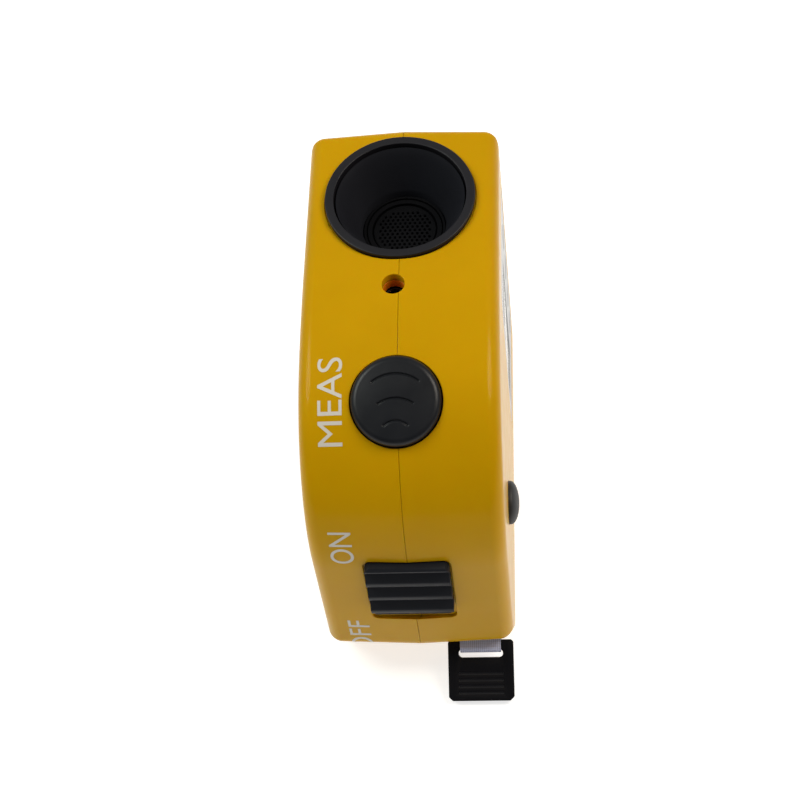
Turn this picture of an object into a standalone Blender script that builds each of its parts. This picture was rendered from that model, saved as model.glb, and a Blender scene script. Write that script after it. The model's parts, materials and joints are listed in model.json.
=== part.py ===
"""Handheld ultrasonic distance meter with a laser pointer and a small retractable tape, built in Blender 4.5.

The meter stands on its flat rear face, z = 0, which is the face it measures from. +Z is the measuring direction,
+Y points to the end that carries the ultrasonic sensor, -Y to the edge with the on/off slide, and +X to the side
with the display. The two shells meet in the plane x = 0. Sizes are in millimetres, and each mesh is scaled to
metres as it is made.

The perimeter is a rounded polygon in the YZ plane. Each of its sides is a line given by its heading, the angle
turned from the flat sensor face, and by its distance from the origin. A station on the perimeter has local axes:
local Z is the outward normal and local Y points back towards the sensor.
"""

import math

import bmesh
import bpy
from mathutils import Matrix, Vector

MM = 0.001

# Shells
HALF_WIDTH = 20.0
WALL = 1.8
SEAM_GAP = 0.15
DRAFT = math.tan(math.radians(2.4))
SIDE_FILLET = 3.0
SMALLEST_RADIUS = 0.4
FIT = 0.3
FACE_Z = 77.1
END_Y = 35.3
FACET_HEADING = 84.2
MOUTH_HEADING = 117.0
ROLL_HEADING = 10.6
ROLL_RADIUS = 35.8
# Sides: heading in degrees, distance from the origin, share of the draft that the side takes
SIDES = (
    (0.0, FACE_Z, 1.0),
    (ROLL_HEADING, 77.96, 1.0),
    (FACET_HEADING, 56.45, 1.0),
    (MOUTH_HEADING, 43.07, 1.0),
    (180.0, 0.0, 0.0),
    (270.0, END_Y, 1.0),
)
# Corner after each side: radius and number of steps
CORNERS = ((120.0, 4), (ROLL_RADIUS, 14), (4.0, 4), (3.0, 5), (5.0, 5), (2.5, 5))

# Housing screws, along X, as (y, z)
BOSSES = ((28.9, 7.6), (28.9, 50.2), (-46.5, 19.5), (-39.7, 54.9))
BOSS_RADIUS = {-1: 3.8, 1: 2.6}
SCREW_HOLE = 1.5
SCREW_RADIUS = 1.2
SCREW_HEAD = (2.5, 1.6)
SCREW_TIP_X = 12.0
HEAD_SEAT = 2.7
HEAD_SEAT_X = -17.6

# How far cutters reach past the outside and into the inside
OUTSIDE = 22.0
INSIDE = 17.0

# Ultrasonic sensor; radii and heights along Z
ROUND_X = -0.3
SENSOR_Y = 16.6
SENSOR_RADIUS = 15.57
SENSOR_BORE = 14.6
SENSOR_SEAT_Z = 76.05
BEZEL_Z = (66.4, 77.7)
BEZEL_BORE = 13.75
BEZEL_SKIRT = 14.3
BEZEL_FLANGE_Z = 76.35
BEZEL_CHAMFER = 0.5
HORN_MOUTH = (12.8, 13.45)
HORN_THROAT = (8.9, 9.9)
HORN_Z = (60.5, 67.2, 72.0, 76.7)
SLEEVE = (8.15, 8.65)
SLEEVE_Z = (58.4, 66.2)
CAN = (6.95, 7.9)
CAN_Z = (57.5, 64.8, 66.0)
MESH_RADIUS = 6.6
MESH_Z = (65.2, 65.7)

# Laser; radii and heights along Z
LASER_X = -1.1
LASER_Y = -5.2
LASER_HOLE = 2.3
LASER_RADIUS = 3.6
LASER_BORE = (2.1, 2.25)
LASER_BEZEL_Z = (73.0, 74.9)
LASER_LENS = 1.3
LASER_LENS_Z = (71.8, 72.3, 72.45)
LASER_BARREL_Z = (58.3, 71.5, 72.7)
LASER_BARREL_BORE = 1.6
LASER_BOARD_Z = (56.8, 58.0)

# Measure button, on the rolled corner
MEASURE_HEADING = 22.1
MEASURE_RADIUS = 8.95
MEASURE_HOLE = 9.3
MEASURE_FLANGE = 10.2
MEASURE_FLANGE_Z = (-4.6, -3.65)
MEASURE_BOSS = 1.6
MEASURE_BOSS_Z = -6.5
# The cap's crown, as (share of the radius, height)
MEASURE_CROWN = ((1.0, 0.35), (0.96, 0.75), (0.72, 1.12), (0.38, 1.34), (0.0, 1.42))
PLUNGER = 1.4
PLUNGER_Z = (-8.6, -6.8)
TACT_SWITCH = (6.2, 6.2)
TACT_SWITCH_Z = (-11.2, -7.7)
TACT_BORE = (1.8, -9.9)
BUTTON_BOARD = (16.0, 18.0)
BUTTON_BOARD_Z = (-12.7, -11.5)

# Power slide, on the facet
POCKET_FROM_ROLL = 8.35
POCKET = (17.9, 22.1)
POCKET_DEPTH = 1.0
SLIDE = (17.3, 18.0)
SLIDE_TRAVEL = 3.5
SLIDE_BOTTOM = -0.75
SLIDE_EDGE = 0.95
RIDGE_PITCH = 5.2
LAST_VALLEY = 6.5
RIDGE_Z = (0.4, 1.62)
RIDGE_RISE = 0.44
STEM_SLOT = (4.7, 9.5)
STEM = (4.0, 5.0)
STEM_Z = (-4.6, -0.4)
LEVER = (2.0, 2.2)
LEVER_Z = (-8.0, -4.9)
SLIDE_SWITCH = (9.0, 13.0)
SLIDE_SWITCH_Z = (-10.2, -5.8)
SWITCH_GROOVE = (2.8, 7.0)
SWITCH_GROOVE_Z = -8.6
SWITCH_BOARD = (10.4, 20.0)
SWITCH_BOARD_Z = (-11.7, -10.5)

# Tape reel, with its axis along X, and the tape's mouth
REEL_Y = -32.1
REEL_Z = 33.7
REEL_BORE = 2.5
REEL_HUB = (9.6, 10.6)
REEL_FLANGE = 15.6
REEL_X = (7.1, 17.8)
REEL_SHEET = 0.65
REEL_WEB_X = (13.6, 14.4)
COIL = (10.9, 14.25)
AXLE = (2.2, 3.4)
AXLE_X = (4.2, 5.3, 14.2)
CASE = (16.2, 17.2)
CASE_X = (5.6, 6.8, 17.9)
CASE_GATE = (11.0, 4.6)
CASE_GATE_Z = (-25.0, -14.0)
CLOCK_SPRING = (3.2, 8.9)
CLOCK_SPRING_X = (8.2, 12.8)
CLOCK_SPRING_TURNS = 6
CLOCK_SPRING_THICKNESS = 0.3
TAPE_X = 12.5
TAPE_WIDTH = 8.9
TAPE_THICKNESS = 0.3
TAPE_RUN = 27.0
MOUTH_Z = 7.2
MOUTH_CUT = (11.2, 5.0)
LINER = ((10.7, 4.4), (9.5, 3.4))
LINER_Z = (-3.4, -0.2)
TAB = (14.3, 13.2, 1.6)
TAB_START = 0.3
TAB_CHAMFER = 0.8
TAB_BAR = 2.0
TAB_SLOT = (9.8, 2.2)
LOOP_LENGTH = 3.05
LOOP_BACK = 2.9
REWIND_RADIUS = 4.6
REWIND_FLANGE = 5.6
REWIND_X = (16.3, 17.4, 20.4, 22.2)
REWIND_SPRING = 3.9
REWIND_SPRING_X = (14.85, 15.9)
REWIND_SPRING_TURNS = 2

# Display side; ranges along Y and Z, and along X where named so
PANEL_Y = (-0.5, 29.5)
PANEL_Z = (12.0, 64.0)
PANEL_SEAT_X = 18.95
PANEL_X = (19.25, 19.95)
WINDOW_Y = (2.0, 16.0)
WINDOW_Z = (18.0, 56.0)
WINDOW_X = (17.9, 19.8)
LCD_Y = (0.5, 17.2)
LCD_Z = (16.0, 58.0)
LCD_X = (15.2, 17.3)
LCD_FRAME = 1.5
LCD_FRAME_X = (13.2, 17.6)
ZEBRA_Y = (0.6, 2.6)
ZEBRA_Z = (18.0, 56.0)
ZEBRA_X = (12.9, 14.9)
MAIN_BOARD_Y = (-2.0, 25.9)
MAIN_BOARD_Z = (12.0, 62.0)
MAIN_BOARD_X = (11.2, 12.6)
CHIP_Y = (5.0, 15.0)
CHIP_Z = (30.0, 40.0)
CHIP_X = (9.5, 10.9)
KEY_MAT_Y = (19.7, 25.9)
KEY_MAT_Z = (15.0, 59.0)
KEY_MAT_X = (12.9, 13.9)
KEY_DOME = (2.4, 1.5)
KEY_DOME_X = (13.5, 14.2, 15.6)
KEY_Y = 23.0
KEYS = (("key_unit", 20.5), ("key_area", 31.5), ("key_memory", 42.5), ("key_clear", 53.5))
KEY_RADIUS = 2.8
KEY_FLANGE = 3.5
KEY_X = (16.6, 17.4, 20.0, 20.2)
BUZZER = 6.0
BUZZER_X = (-17.6, -15.2)
BUZZER_Y = 20.0
BUZZER_Z = 33.0

# Battery and its door
BATTERY_X = -2.0
BATTERY_Y = 5.5
BATTERY = (17.5, 26.5, 46.4)
BATTERY_Z = 2.2
TERMINAL = (2.6, 2.1)
TERMINAL_SPACING = 12.7
CLIP = (12.0, 25.0, 1.8)
LEAD_RADIUS = 0.55
LEAD_SAG = 1.2
LEAD_POINTS = 8
DOOR_X = (-14.0, 10.0)
DOOR_Y = (-11.0, 22.0)
DOOR_THICKNESS = 1.6

YELLOW = ("yellow_shell", (0.62, 0.33, 0.004), 0.38, 0.0)
BLACK = ("black_plastic", (0.020, 0.019, 0.022), 0.35, 0.0)
SATIN_BLACK = ("satin_black", (0.022, 0.020, 0.023), 0.45, 0.0)
PANEL_GREY = ("panel_grey", (0.45, 0.46, 0.47), 0.4, 0.0)
CLEAR = ("clear_window", (0.8, 0.85, 0.85), 0.05, 0.0)
LCD_GREEN = ("lcd_glass", (0.35, 0.40, 0.33), 0.2, 0.0)
RUBBER = ("rubber", (0.03, 0.03, 0.033), 0.7, 0.0)
KEY_GREY = ("key_grey", (0.50, 0.51, 0.52), 0.5, 0.0)
BLACK_METAL = ("black_metal", (0.01, 0.01, 0.012), 0.4, 0.6)
TAPE_GREY = ("tape_grey", (0.19, 0.18, 0.20), 0.5, 0.0)
STEEL = ("steel", (0.55, 0.55, 0.56), 0.3, 1.0)
BOARD_GREEN = ("circuit_board", (0.02, 0.16, 0.06), 0.5, 0.0)
NYLON = ("white_nylon", (0.75, 0.74, 0.70), 0.5, 0.0)
BATTERY_SKIN = ("battery_skin", (0.08, 0.08, 0.09), 0.35, 0.2)
LENS = ("lens", (0.6, 0.1, 0.05), 0.05, 0.0)
WIRE_RED = ("wire_red", (0.5, 0.02, 0.02), 0.5, 0.0)


def material(look):
    """A Principled material for a look: its name, colour, roughness and metallic value."""
    name, colour, roughness, metallic = look
    found = bpy.data.materials.get(name)
    if found:
        return found
    made = bpy.data.materials.new(name)
    made.use_nodes = True
    shader = made.node_tree.nodes["Principled BSDF"]
    shader.inputs["Base Color"].default_value = (*colour, 1.0)
    shader.inputs["Roughness"].default_value = roughness
    shader.inputs["Metallic"].default_value = metallic
    return made


def solid(name, vertices, faces, look, place=None):
    """One closed object from vertices in millimetres, set in the world by place, with its faces pointing out."""
    place = place or Matrix.Identity(4)
    mesh = bpy.data.meshes.new(name)
    mesh.from_pydata([Vector(v) * MM for v in vertices], [], faces)
    shape = bmesh.new()
    shape.from_mesh(mesh)
    bmesh.ops.recalc_face_normals(shape, faces=shape.faces)
    bmesh.ops.triangulate(shape, faces=shape.faces)
    shape.to_mesh(mesh)
    shape.free()
    made = bpy.data.objects.new(name, mesh)
    made.matrix_world = place
    bpy.context.scene.collection.objects.link(made)
    if look:
        mesh.materials.append(material(look))
        mesh.shade_smooth()
        mesh.set_sharp_from_angle(angle=math.radians(35))
    else:
        made.hide_render = True
        made.display_type = "WIRE"
    return made


def at(x, y, z, heading=0.0):
    """Placement at a point, with local Z along the outward normal of that heading."""
    return Matrix.Translation(Vector((x, y, z)) * MM) @ Matrix.Rotation(math.radians(heading), 4, "X")


def across(y, z, x=0.0):
    """Placement with local Z along world +X, for pieces turned about an axis across the meter."""
    return Matrix.Translation(Vector((x, y, z)) * MM) @ Matrix.Rotation(math.radians(90), 4, "Y")


def prism(name, outline, low, high, look, place=None, axis="Z", hole=None):
    """A straight extrusion. Along Z the outline is (x, y) points, along X it is (y, z) and along Y it is (x, z).
    A hole is an outline with the same number of points."""
    def point(a, b, c):
        return {"Z": (a, b, c), "X": (c, a, b), "Y": (a, c, b)}[axis]

    loops = [[point(a, b, c) for a, b in loop] for loop in (outline, hole or ()) for c in (low, high)]
    vertices = [v for loop in loops for v in loop]
    n = len(outline)
    faces = []
    for i in range(n):
        j = (i + 1) % n
        faces.append((i, j, n + j, n + i))
        if hole:
            faces.append((2 * n + i, 2 * n + j, 3 * n + j, 3 * n + i))
            faces.append((i, j, 2 * n + j, 2 * n + i))
            faces.append((n + i, n + j, 3 * n + j, 3 * n + i))
    if not hole:
        faces.append(tuple(range(n)))
        faces.append(tuple(range(n, 2 * n)))
    return solid(name, vertices, faces, look, place)


def turned(name, profile, look, place=None, steps=40):
    """A turned solid about local Z. The profile is (radius, height) points, closed on itself, or by the axis."""
    rings = []
    vertices = []
    for radius, height in profile:
        if radius == 0:
            rings.append([len(vertices)] * steps)
            vertices.append((0, 0, height))
            continue
        rings.append(list(range(len(vertices), len(vertices) + steps)))
        for k in range(steps):
            turn = 2 * math.pi * k / steps
            vertices.append((radius * math.cos(turn), radius * math.sin(turn), height))
    faces = []
    open_ended = profile[0][0] == 0
    for i in range(len(rings) - (1 if open_ended else 0)):
        a = rings[i]
        b = rings[(i + 1) % len(rings)]
        for k in range(steps):
            m = (k + 1) % steps
            corners = (a[k], a[m], b[m], b[k])
            face = tuple(dict.fromkeys(corners))
            if len(face) > 2:
                faces.append(face)
    return solid(name, vertices, faces, look, place)


def disc(radius, low, high):
    """The profile of a plain round piece about local Z."""
    return [(0, low), (radius, low), (radius, high), (0, high)]


def bore(name, radius, low, high, place, steps):
    """A cutter for a round hole about local Z."""
    return turned(name, disc(radius, low, high), None, place, steps)


def rounded(a, b, radius, steps=3):
    """A rectangle from a[0] to a[1] and b[0] to b[1] with rounded corners."""
    points = []
    for k, (ca, cb) in enumerate(((a[1], b[1]), (a[0], b[1]), (a[0], b[0]), (a[1], b[0]))):
        ma = ca - math.copysign(radius, ca - (a[0] + a[1]) / 2)
        mb = cb - math.copysign(radius, cb - (b[0] + b[1]) / 2)
        for i in range(steps + 1):
            turn = math.pi / 2 * (k + i / steps)
            points.append((ma + radius * math.cos(turn), mb + radius * math.sin(turn)))
    return points


def centred(width, height, radius, a=0.0, b=0.0, steps=3):
    """A rounded rectangle about the point (a, b)."""
    return rounded((a - width / 2, a + width / 2), (b - height / 2, b + height / 2), radius, steps)


def combine(target, operation, *others):
    """Cuts others from the target, or joins them to it."""
    for other in others:
        other.hide_render = True
        other.display_type = "WIRE"
        modifier = target.modifiers.new(other.name, "BOOLEAN")
        modifier.operation = operation
        modifier.solver = "EXACT"
        modifier.object = other


def normal(heading):
    turn = math.radians(heading)
    return -math.sin(turn), math.cos(turn)


def crossing(first, second):
    """The point where two sides meet, each given as (heading, distance)."""
    (a, b), (c, d) = normal(first[0]), normal(second[0])
    size = a * d - b * c
    return (first[1] * d - second[1] * b) / size, (a * second[1] - c * first[1]) / size


def perimeter(x, inset):
    """The perimeter at a distance x from the seam, as (y, z) points, moved in by the draft and the inset."""
    draft = abs(x) * DRAFT
    moved = [(h, d - inset - draft * share) for h, d, share in SIDES]
    points = []
    for i, (radius, steps) in enumerate(CORNERS):
        first = moved[i]
        second = moved[(i + 1) % len(moved)]
        r = max(radius - inset - draft, SMALLEST_RADIUS)
        y, z = crossing((first[0], first[1] - r), (second[0], second[1] - r))
        turn = (second[0] - first[0]) % 360
        for k in range(steps + 1):
            ny, nz = normal(first[0] + turn * k / steps)
            points.append((y + r * ny, z + r * nz))
    return points


def roll_station(heading):
    """The point of the rolled corner with that heading."""
    y, z = crossing((ROLL_HEADING, SIDES[1][1] - ROLL_RADIUS), (FACET_HEADING, SIDES[2][1] - ROLL_RADIUS))
    ny, nz = normal(heading)
    return y + ROLL_RADIUS * ny, z + ROLL_RADIUS * nz


def pocket_place(x=ROUND_X):
    y, z = roll_station(FACET_HEADING)
    ny, nz = normal(FACET_HEADING)
    return at(x, y - nz * POCKET_FROM_ROLL, z + ny * POCKET_FROM_ROLL, FACET_HEADING)


def measure_place():
    y, z = roll_station(MEASURE_HEADING)
    return at(ROUND_X, y, z, MEASURE_HEADING)


def mouth_place():
    """On the mouth's face at the tape's middle."""
    distance = SIDES[3][1] - TAPE_X * DRAFT
    ny, nz = normal(MOUTH_HEADING)
    return at(TAPE_X, (distance - nz * MOUTH_Z) / ny, MOUTH_Z, MOUTH_HEADING)


def shell(name, side):
    """One half of the housing: a lofted cup, open at the seam."""
    rings = [(SEAM_GAP, 0.0), (HALF_WIDTH - SIDE_FILLET, 0.0)]
    for k in range(1, 5):
        turn = math.pi / 2 * k / 4
        x = HALF_WIDTH - SIDE_FILLET * (1 - math.sin(turn))
        rings.append((x, SIDE_FILLET * (1 - math.cos(turn))))
    outside = len(rings)
    rings.append((HALF_WIDTH - WALL, WALL + 0.4))
    rings.append((HALF_WIDTH - WALL - 0.8, WALL))
    rings.append((SEAM_GAP, WALL))
    loops = [[(side * x, y, z) for y, z in perimeter(x, inset)] for x, inset in rings]
    n = len(loops[0])
    vertices = [v for loop in loops for v in loop]
    faces = []
    for r in range(len(loops)):
        if r == outside - 1:
            continue
        after = (r + 1) % len(loops)
        for i in range(n):
            j = (i + 1) % n
            faces.append((r * n + i, r * n + j, after * n + j, after * n + i))
    faces.append(tuple(range((outside - 1) * n, outside * n)))
    faces.append(tuple(range(outside * n, (outside + 1) * n)))
    return solid(name, vertices, faces, YELLOW)


def housing():
    left = shell("housing_left", -1)
    right = shell("housing_right", 1)
    for side, half in ((-1, left), (1, right)):
        label = "left" if side < 0 else "right"
        for k, (y, z) in enumerate(BOSSES):
            ends = sorted((side * SEAM_GAP, side * (HALF_WIDTH - WALL / 2)))
            r = BOSS_RADIUS[side]
            boss = [(0, ends[0]), (r, ends[0]), (r, ends[1]), (0, ends[1])]
            combine(half, "UNION", turned(f"boss_{label}_{k}", boss, None, across(y, z), 16))
    for k, (y, z) in enumerate(BOSSES):
        seat = [(0, -OUTSIDE), (HEAD_SEAT, -OUTSIDE), (HEAD_SEAT, HEAD_SEAT_X), (SCREW_HOLE, HEAD_SEAT_X),
                (SCREW_HOLE, 1), (0, 1)]
        combine(left, "DIFFERENCE", turned(f"screw_cut_left_{k}", seat, None, across(y, z), 16))
        pilot = [(0, -1), (SCREW_HOLE, -1), (SCREW_HOLE, SCREW_TIP_X + 1), (0, SCREW_TIP_X + 1)]
        combine(right, "DIFFERENCE", turned(f"screw_cut_right_{k}", pilot, None, across(y, z), 16))

    above = FACE_Z + 3
    below = FACE_Z - 15
    sensor = turned("sensor_cut", [(0, below), (SENSOR_BORE, below), (SENSOR_BORE, SENSOR_SEAT_Z),
                                   (SENSOR_RADIUS + FIT, SENSOR_SEAT_Z),
                                   (SENSOR_RADIUS + FIT, above), (0, above)], None, at(ROUND_X, SENSOR_Y, 0), 48)
    laser = bore("laser_cut", LASER_HOLE, below, above, at(LASER_X, LASER_Y, 0), 24)
    measure = bore("measure_cut", MEASURE_HOLE, -4.5, 4, measure_place(), 40)
    pocket = prism("pocket_cut", centred(POCKET[0], POCKET[1], 1.0), -POCKET_DEPTH, 3, None, pocket_place())
    stem_slot = prism("stem_cut", centred(*STEM_SLOT, 0.8), -4, 0, None, pocket_place())
    door = prism("door_cut", rounded(DOOR_X, DOOR_Y, 1.0), -1, 4, None)
    for half in (left, right):
        combine(half, "DIFFERENCE", sensor, laser, measure, pocket, stem_slot, door)

    mouth = prism("mouth_cut", centred(*MOUTH_CUT, 0.8), -6, 3, None, mouth_place())
    grown = [(PANEL_Y[0] - FIT, PANEL_Y[1] + FIT), (PANEL_Z[0] - FIT, PANEL_Z[1] + FIT)]
    panel = prism("panel_cut", rounded(*grown, 2.8), PANEL_SEAT_X, OUTSIDE, None, axis="X")
    window = prism("window_cut", rounded(WINDOW_Y, WINDOW_Z, 1.5), INSIDE, OUTSIDE, None, axis="X")
    rewind = bore("rewind_cut", REWIND_RADIUS + FIT, INSIDE, OUTSIDE, across(REEL_Y, REEL_Z), 32)
    combine(right, "DIFFERENCE", mouth, panel, window, rewind)
    for name, z in KEYS:
        hole = bore(f"{name}_cut", KEY_RADIUS + FIT, INSIDE, OUTSIDE, across(KEY_Y, z), 24)
        combine(right, "DIFFERENCE", hole)


def screws():
    """Four pan-head screws from the left shell into the bosses of the right one."""
    radius, height = SCREW_HEAD
    head_x = HEAD_SEAT_X - FIT
    profile = [(0, head_x - height), (radius * 0.8, head_x - height), (radius, head_x - height * 0.6),
               (radius, head_x), (SCREW_RADIUS, head_x), (SCREW_RADIUS, SCREW_TIP_X - 1.5), (0, SCREW_TIP_X)]
    for k, (y, z) in enumerate(BOSSES):
        turned(f"housing_screw_{k + 1}", profile, STEEL, across(y, z), 16)


def sensor():
    place = at(ROUND_X, SENSOR_Y, 0)
    bottom, top = BEZEL_Z
    turned("sensor_bezel", [(BEZEL_BORE, bottom), (BEZEL_SKIRT, bottom), (BEZEL_SKIRT, BEZEL_FLANGE_Z),
                            (SENSOR_RADIUS, BEZEL_FLANGE_Z), (SENSOR_RADIUS, top - BEZEL_CHAMFER),
                            (SENSOR_RADIUS - BEZEL_CHAMFER, top), (BEZEL_BORE + BEZEL_CHAMFER, top),
                            (BEZEL_BORE, top - BEZEL_CHAMFER)], SATIN_BLACK, place, 56)
    turned("acoustic_horn", [(HORN_MOUTH[0], HORN_Z[3]), (HORN_MOUTH[1], HORN_Z[3]), (HORN_MOUTH[1], HORN_Z[2]),
                             (HORN_THROAT[1], HORN_Z[1]), (HORN_THROAT[1], HORN_Z[0]),
                             (HORN_THROAT[0], HORN_Z[0]), (HORN_THROAT[0], HORN_Z[1])], BLACK, place, 48)
    inner, outer = SLEEVE
    bottom, top = SLEEVE_Z
    turned("transducer_sleeve", [(inner, bottom), (outer, bottom), (outer, top), (inner, top)], RUBBER, place)
    turned("transducer_can", [(0, CAN_Z[0]), (CAN[1], CAN_Z[0]), (CAN[1], CAN_Z[2]), (CAN[0], CAN_Z[2]),
                              (CAN[0], CAN_Z[1]), (0, CAN_Z[1])], BLACK_METAL, place)
    turned("transducer_mesh", disc(MESH_RADIUS, *MESH_Z), BLACK, place)


def laser():
    place = at(LASER_X, LASER_Y, 0)
    bottom, top = LASER_BEZEL_Z
    turned("laser_bezel", [(LASER_BORE[0], bottom), (LASER_RADIUS, bottom), (LASER_RADIUS, top),
                           (LASER_BORE[1], top)], YELLOW, place, 24)
    low, edge, crest = LASER_LENS_Z
    turned("laser_lens", [(0, low), (LASER_LENS, low), (LASER_LENS, edge), (0, crest)], LENS, place, 24)
    low, seat, high = LASER_BARREL_Z
    turned("laser_barrel", [(0, low), (LASER_RADIUS, low), (LASER_RADIUS, high), (LASER_BARREL_BORE, high),
                            (LASER_BARREL_BORE, seat), (0, seat)], BLACK_METAL, place, 24)
    turned("laser_driver_board", disc(LASER_RADIUS - 0.2, *LASER_BOARD_Z), BOARD_GREEN, place, 24)


def measure():
    place = measure_place()
    low, high = MEASURE_FLANGE_Z
    crown = [(share * MEASURE_RADIUS, height) for share, height in MEASURE_CROWN]
    turned("measure_button", [(0, MEASURE_BOSS_Z), (MEASURE_BOSS, MEASURE_BOSS_Z), (MEASURE_BOSS, low),
                              (MEASURE_FLANGE, low), (MEASURE_FLANGE, high), (MEASURE_RADIUS, high), *crown],
           BLACK, place, 48)
    turned("measure_plunger", disc(PLUNGER, *PLUNGER_Z), NYLON, place, 16)
    switch = prism("measure_tact_switch", centred(*TACT_SWITCH, 0.3, steps=1), *TACT_SWITCH_Z, BLACK, place)
    radius, depth = TACT_BORE
    combine(switch, "DIFFERENCE", bore("tact_cut", radius, depth, PLUNGER_Z[1], place, 16))
    prism("button_board", centred(*BUTTON_BOARD, 1.0), *BUTTON_BOARD_Z, BOARD_GREEN, place)


def slide_section():
    """The power slide's section along its travel, as (y, z), with straight rises and round falls."""
    middle = SLIDE_TRAVEL / 2
    length = SLIDE[1]
    points = [(middle - length / 2, SLIDE_BOTTOM), (middle + length / 2, SLIDE_BOTTOM),
              (middle + length / 2, SLIDE_EDGE)]
    low, high = RIDGE_Z
    steps = 48
    for k in range(steps + 1):
        y = length / 2 - 0.5 - (length - 1) * k / steps
        share = (LAST_VALLEY - y) / RIDGE_PITCH % 1
        if share < RIDGE_RISE:
            height = share / RIDGE_RISE
        else:
            height = math.cos(math.pi / 2 * ((share - RIDGE_RISE) / (1 - RIDGE_RISE)) ** 1.4)
        points.append((middle + y, low + (high - low) * height))
    points.append((middle - length / 2, SLIDE_EDGE))
    return points


def power_slide():
    place = pocket_place()
    half = SLIDE[0] / 2
    cap = prism("power_slide", slide_section(), -half, half, BLACK, place, axis="X")
    middle = SLIDE_TRAVEL / 2
    stem = prism("stem_join", centred(*STEM, 0.5, 0, middle), *STEM_Z, None, place)
    combine(cap, "UNION", stem)
    prism("switch_lever", centred(*LEVER, 0.3, 0, middle, 1), *LEVER_Z, NYLON, place)
    body = prism("slide_switch", centred(*SLIDE_SWITCH, 0.4, steps=1), *SLIDE_SWITCH_Z, STEEL, place)
    groove = prism("switch_cut", centred(*SWITCH_GROOVE, 0.3, steps=1), SWITCH_GROOVE_Z, 0, None, place)
    combine(body, "DIFFERENCE", groove)
    prism("switch_board", centred(*SWITCH_BOARD, 1.0), *SWITCH_BOARD_Z, BOARD_GREEN, place)


def reel():
    place = across(REEL_Y, REEL_Z)
    inner, outer = REEL_HUB
    left, right = REEL_X
    turned("reel_hub", [(REEL_BORE, REEL_WEB_X[0]), (inner, REEL_WEB_X[0]), (inner, left), (REEL_FLANGE, left),
                        (REEL_FLANGE, left + REEL_SHEET), (outer, left + REEL_SHEET), (outer, right - REEL_SHEET),
                        (REEL_FLANGE, right - REEL_SHEET), (REEL_FLANGE, right), (inner, right),
                        (inner, REEL_WEB_X[1]), (REEL_BORE, REEL_WEB_X[1])], NYLON, place)
    low = TAPE_X - TAPE_WIDTH / 2
    high = TAPE_X + TAPE_WIDTH / 2
    turned("tape_coil", [(COIL[0], low), (COIL[1], low), (COIL[1], high), (COIL[0], high)], TAPE_GREY, place)
    start, step, end = AXLE_X
    turned("reel_axle", [(0, start), (AXLE[1], start), (AXLE[1], step), (AXLE[0], step), (AXLE[0], end), (0, end)],
           STEEL, place, 24)
    start, floor, end = CASE_X
    case = turned("tape_case", [(REEL_BORE, start), (CASE[1], start), (CASE[1], end), (CASE[0], end),
                                (CASE[0], floor), (REEL_BORE, floor)], BLACK, place, 48)
    gate = prism("case_cut", centred(*CASE_GATE, 0.5), *CASE_GATE_Z, None, mouth_place())
    combine(case, "DIFFERENCE", gate)
    clock_spring(place)
    r = REWIND_RADIUS
    bottom, ledge, shoulder, top = REWIND_X
    turns = [k * math.pi / 12 for k in range(6)]
    crown = [(r * math.cos(a), shoulder + (top - shoulder) * math.sin(a)) for a in turns]
    turned("rewind_button", [(0, bottom), (REWIND_FLANGE, bottom), (REWIND_FLANGE, ledge), (r, ledge), *crown,
                             (0, top)], RUBBER, place, 32)
    rewind_spring(place)


def clock_spring(place):
    """A flat strip wound from the axle out to the hub."""
    steps = 24
    low, high = CLOCK_SPRING_X
    inner, outer = CLOCK_SPRING
    vertices = []
    count = CLOCK_SPRING_TURNS * steps
    for k in range(count + 1):
        turn = 2 * math.pi * k / steps
        radius = inner + (outer - inner) * k / count
        out = radius + CLOCK_SPRING_THICKNESS
        for r, h in ((radius, low), (out, low), (out, high), (radius, high)):
            vertices.append((r * math.cos(turn), r * math.sin(turn), h))
    faces = [(0, 1, 2, 3), tuple(4 * count + i for i in range(4))]
    for k in range(count):
        for i in range(4):
            j = (i + 1) % 4
            faces.append((4 * k + i, 4 * k + j, 4 * k + 4 + j, 4 * k + 4 + i))
    solid("clock_spring", vertices, faces, STEEL, place)


def wire(name, points, radius, look, place=None):
    """A round wire along points in millimetres, with its ends closed."""
    curve = bpy.data.curves.new(name, "CURVE")
    curve.dimensions = "3D"
    curve.bevel_depth = radius * MM
    curve.bevel_resolution = 1
    curve.use_fill_caps = True
    spline = curve.splines.new("POLY")
    spline.points.add(len(points) - 1)
    for target, source in zip(spline.points, points):
        target.co = (*[c * MM for c in source], 1.0)
    curve.materials.append(material(look))
    made = bpy.data.objects.new(name, curve)
    made.matrix_world = place or Matrix.Identity(4)
    bpy.context.scene.collection.objects.link(made)
    return made


def rewind_spring(place):
    """A small coil spring between the reel's web and the rewind button."""
    steps = 16
    low, high = REWIND_SPRING_X
    count = REWIND_SPRING_TURNS * steps
    points = []
    for k in range(count + 1):
        turn = 2 * math.pi * k / steps
        height = low + (high - low) * k / count
        points.append((REWIND_SPRING * math.cos(turn), REWIND_SPRING * math.sin(turn), height))
    wire("rewind_spring", points, 0.15, STEEL, place)


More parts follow.
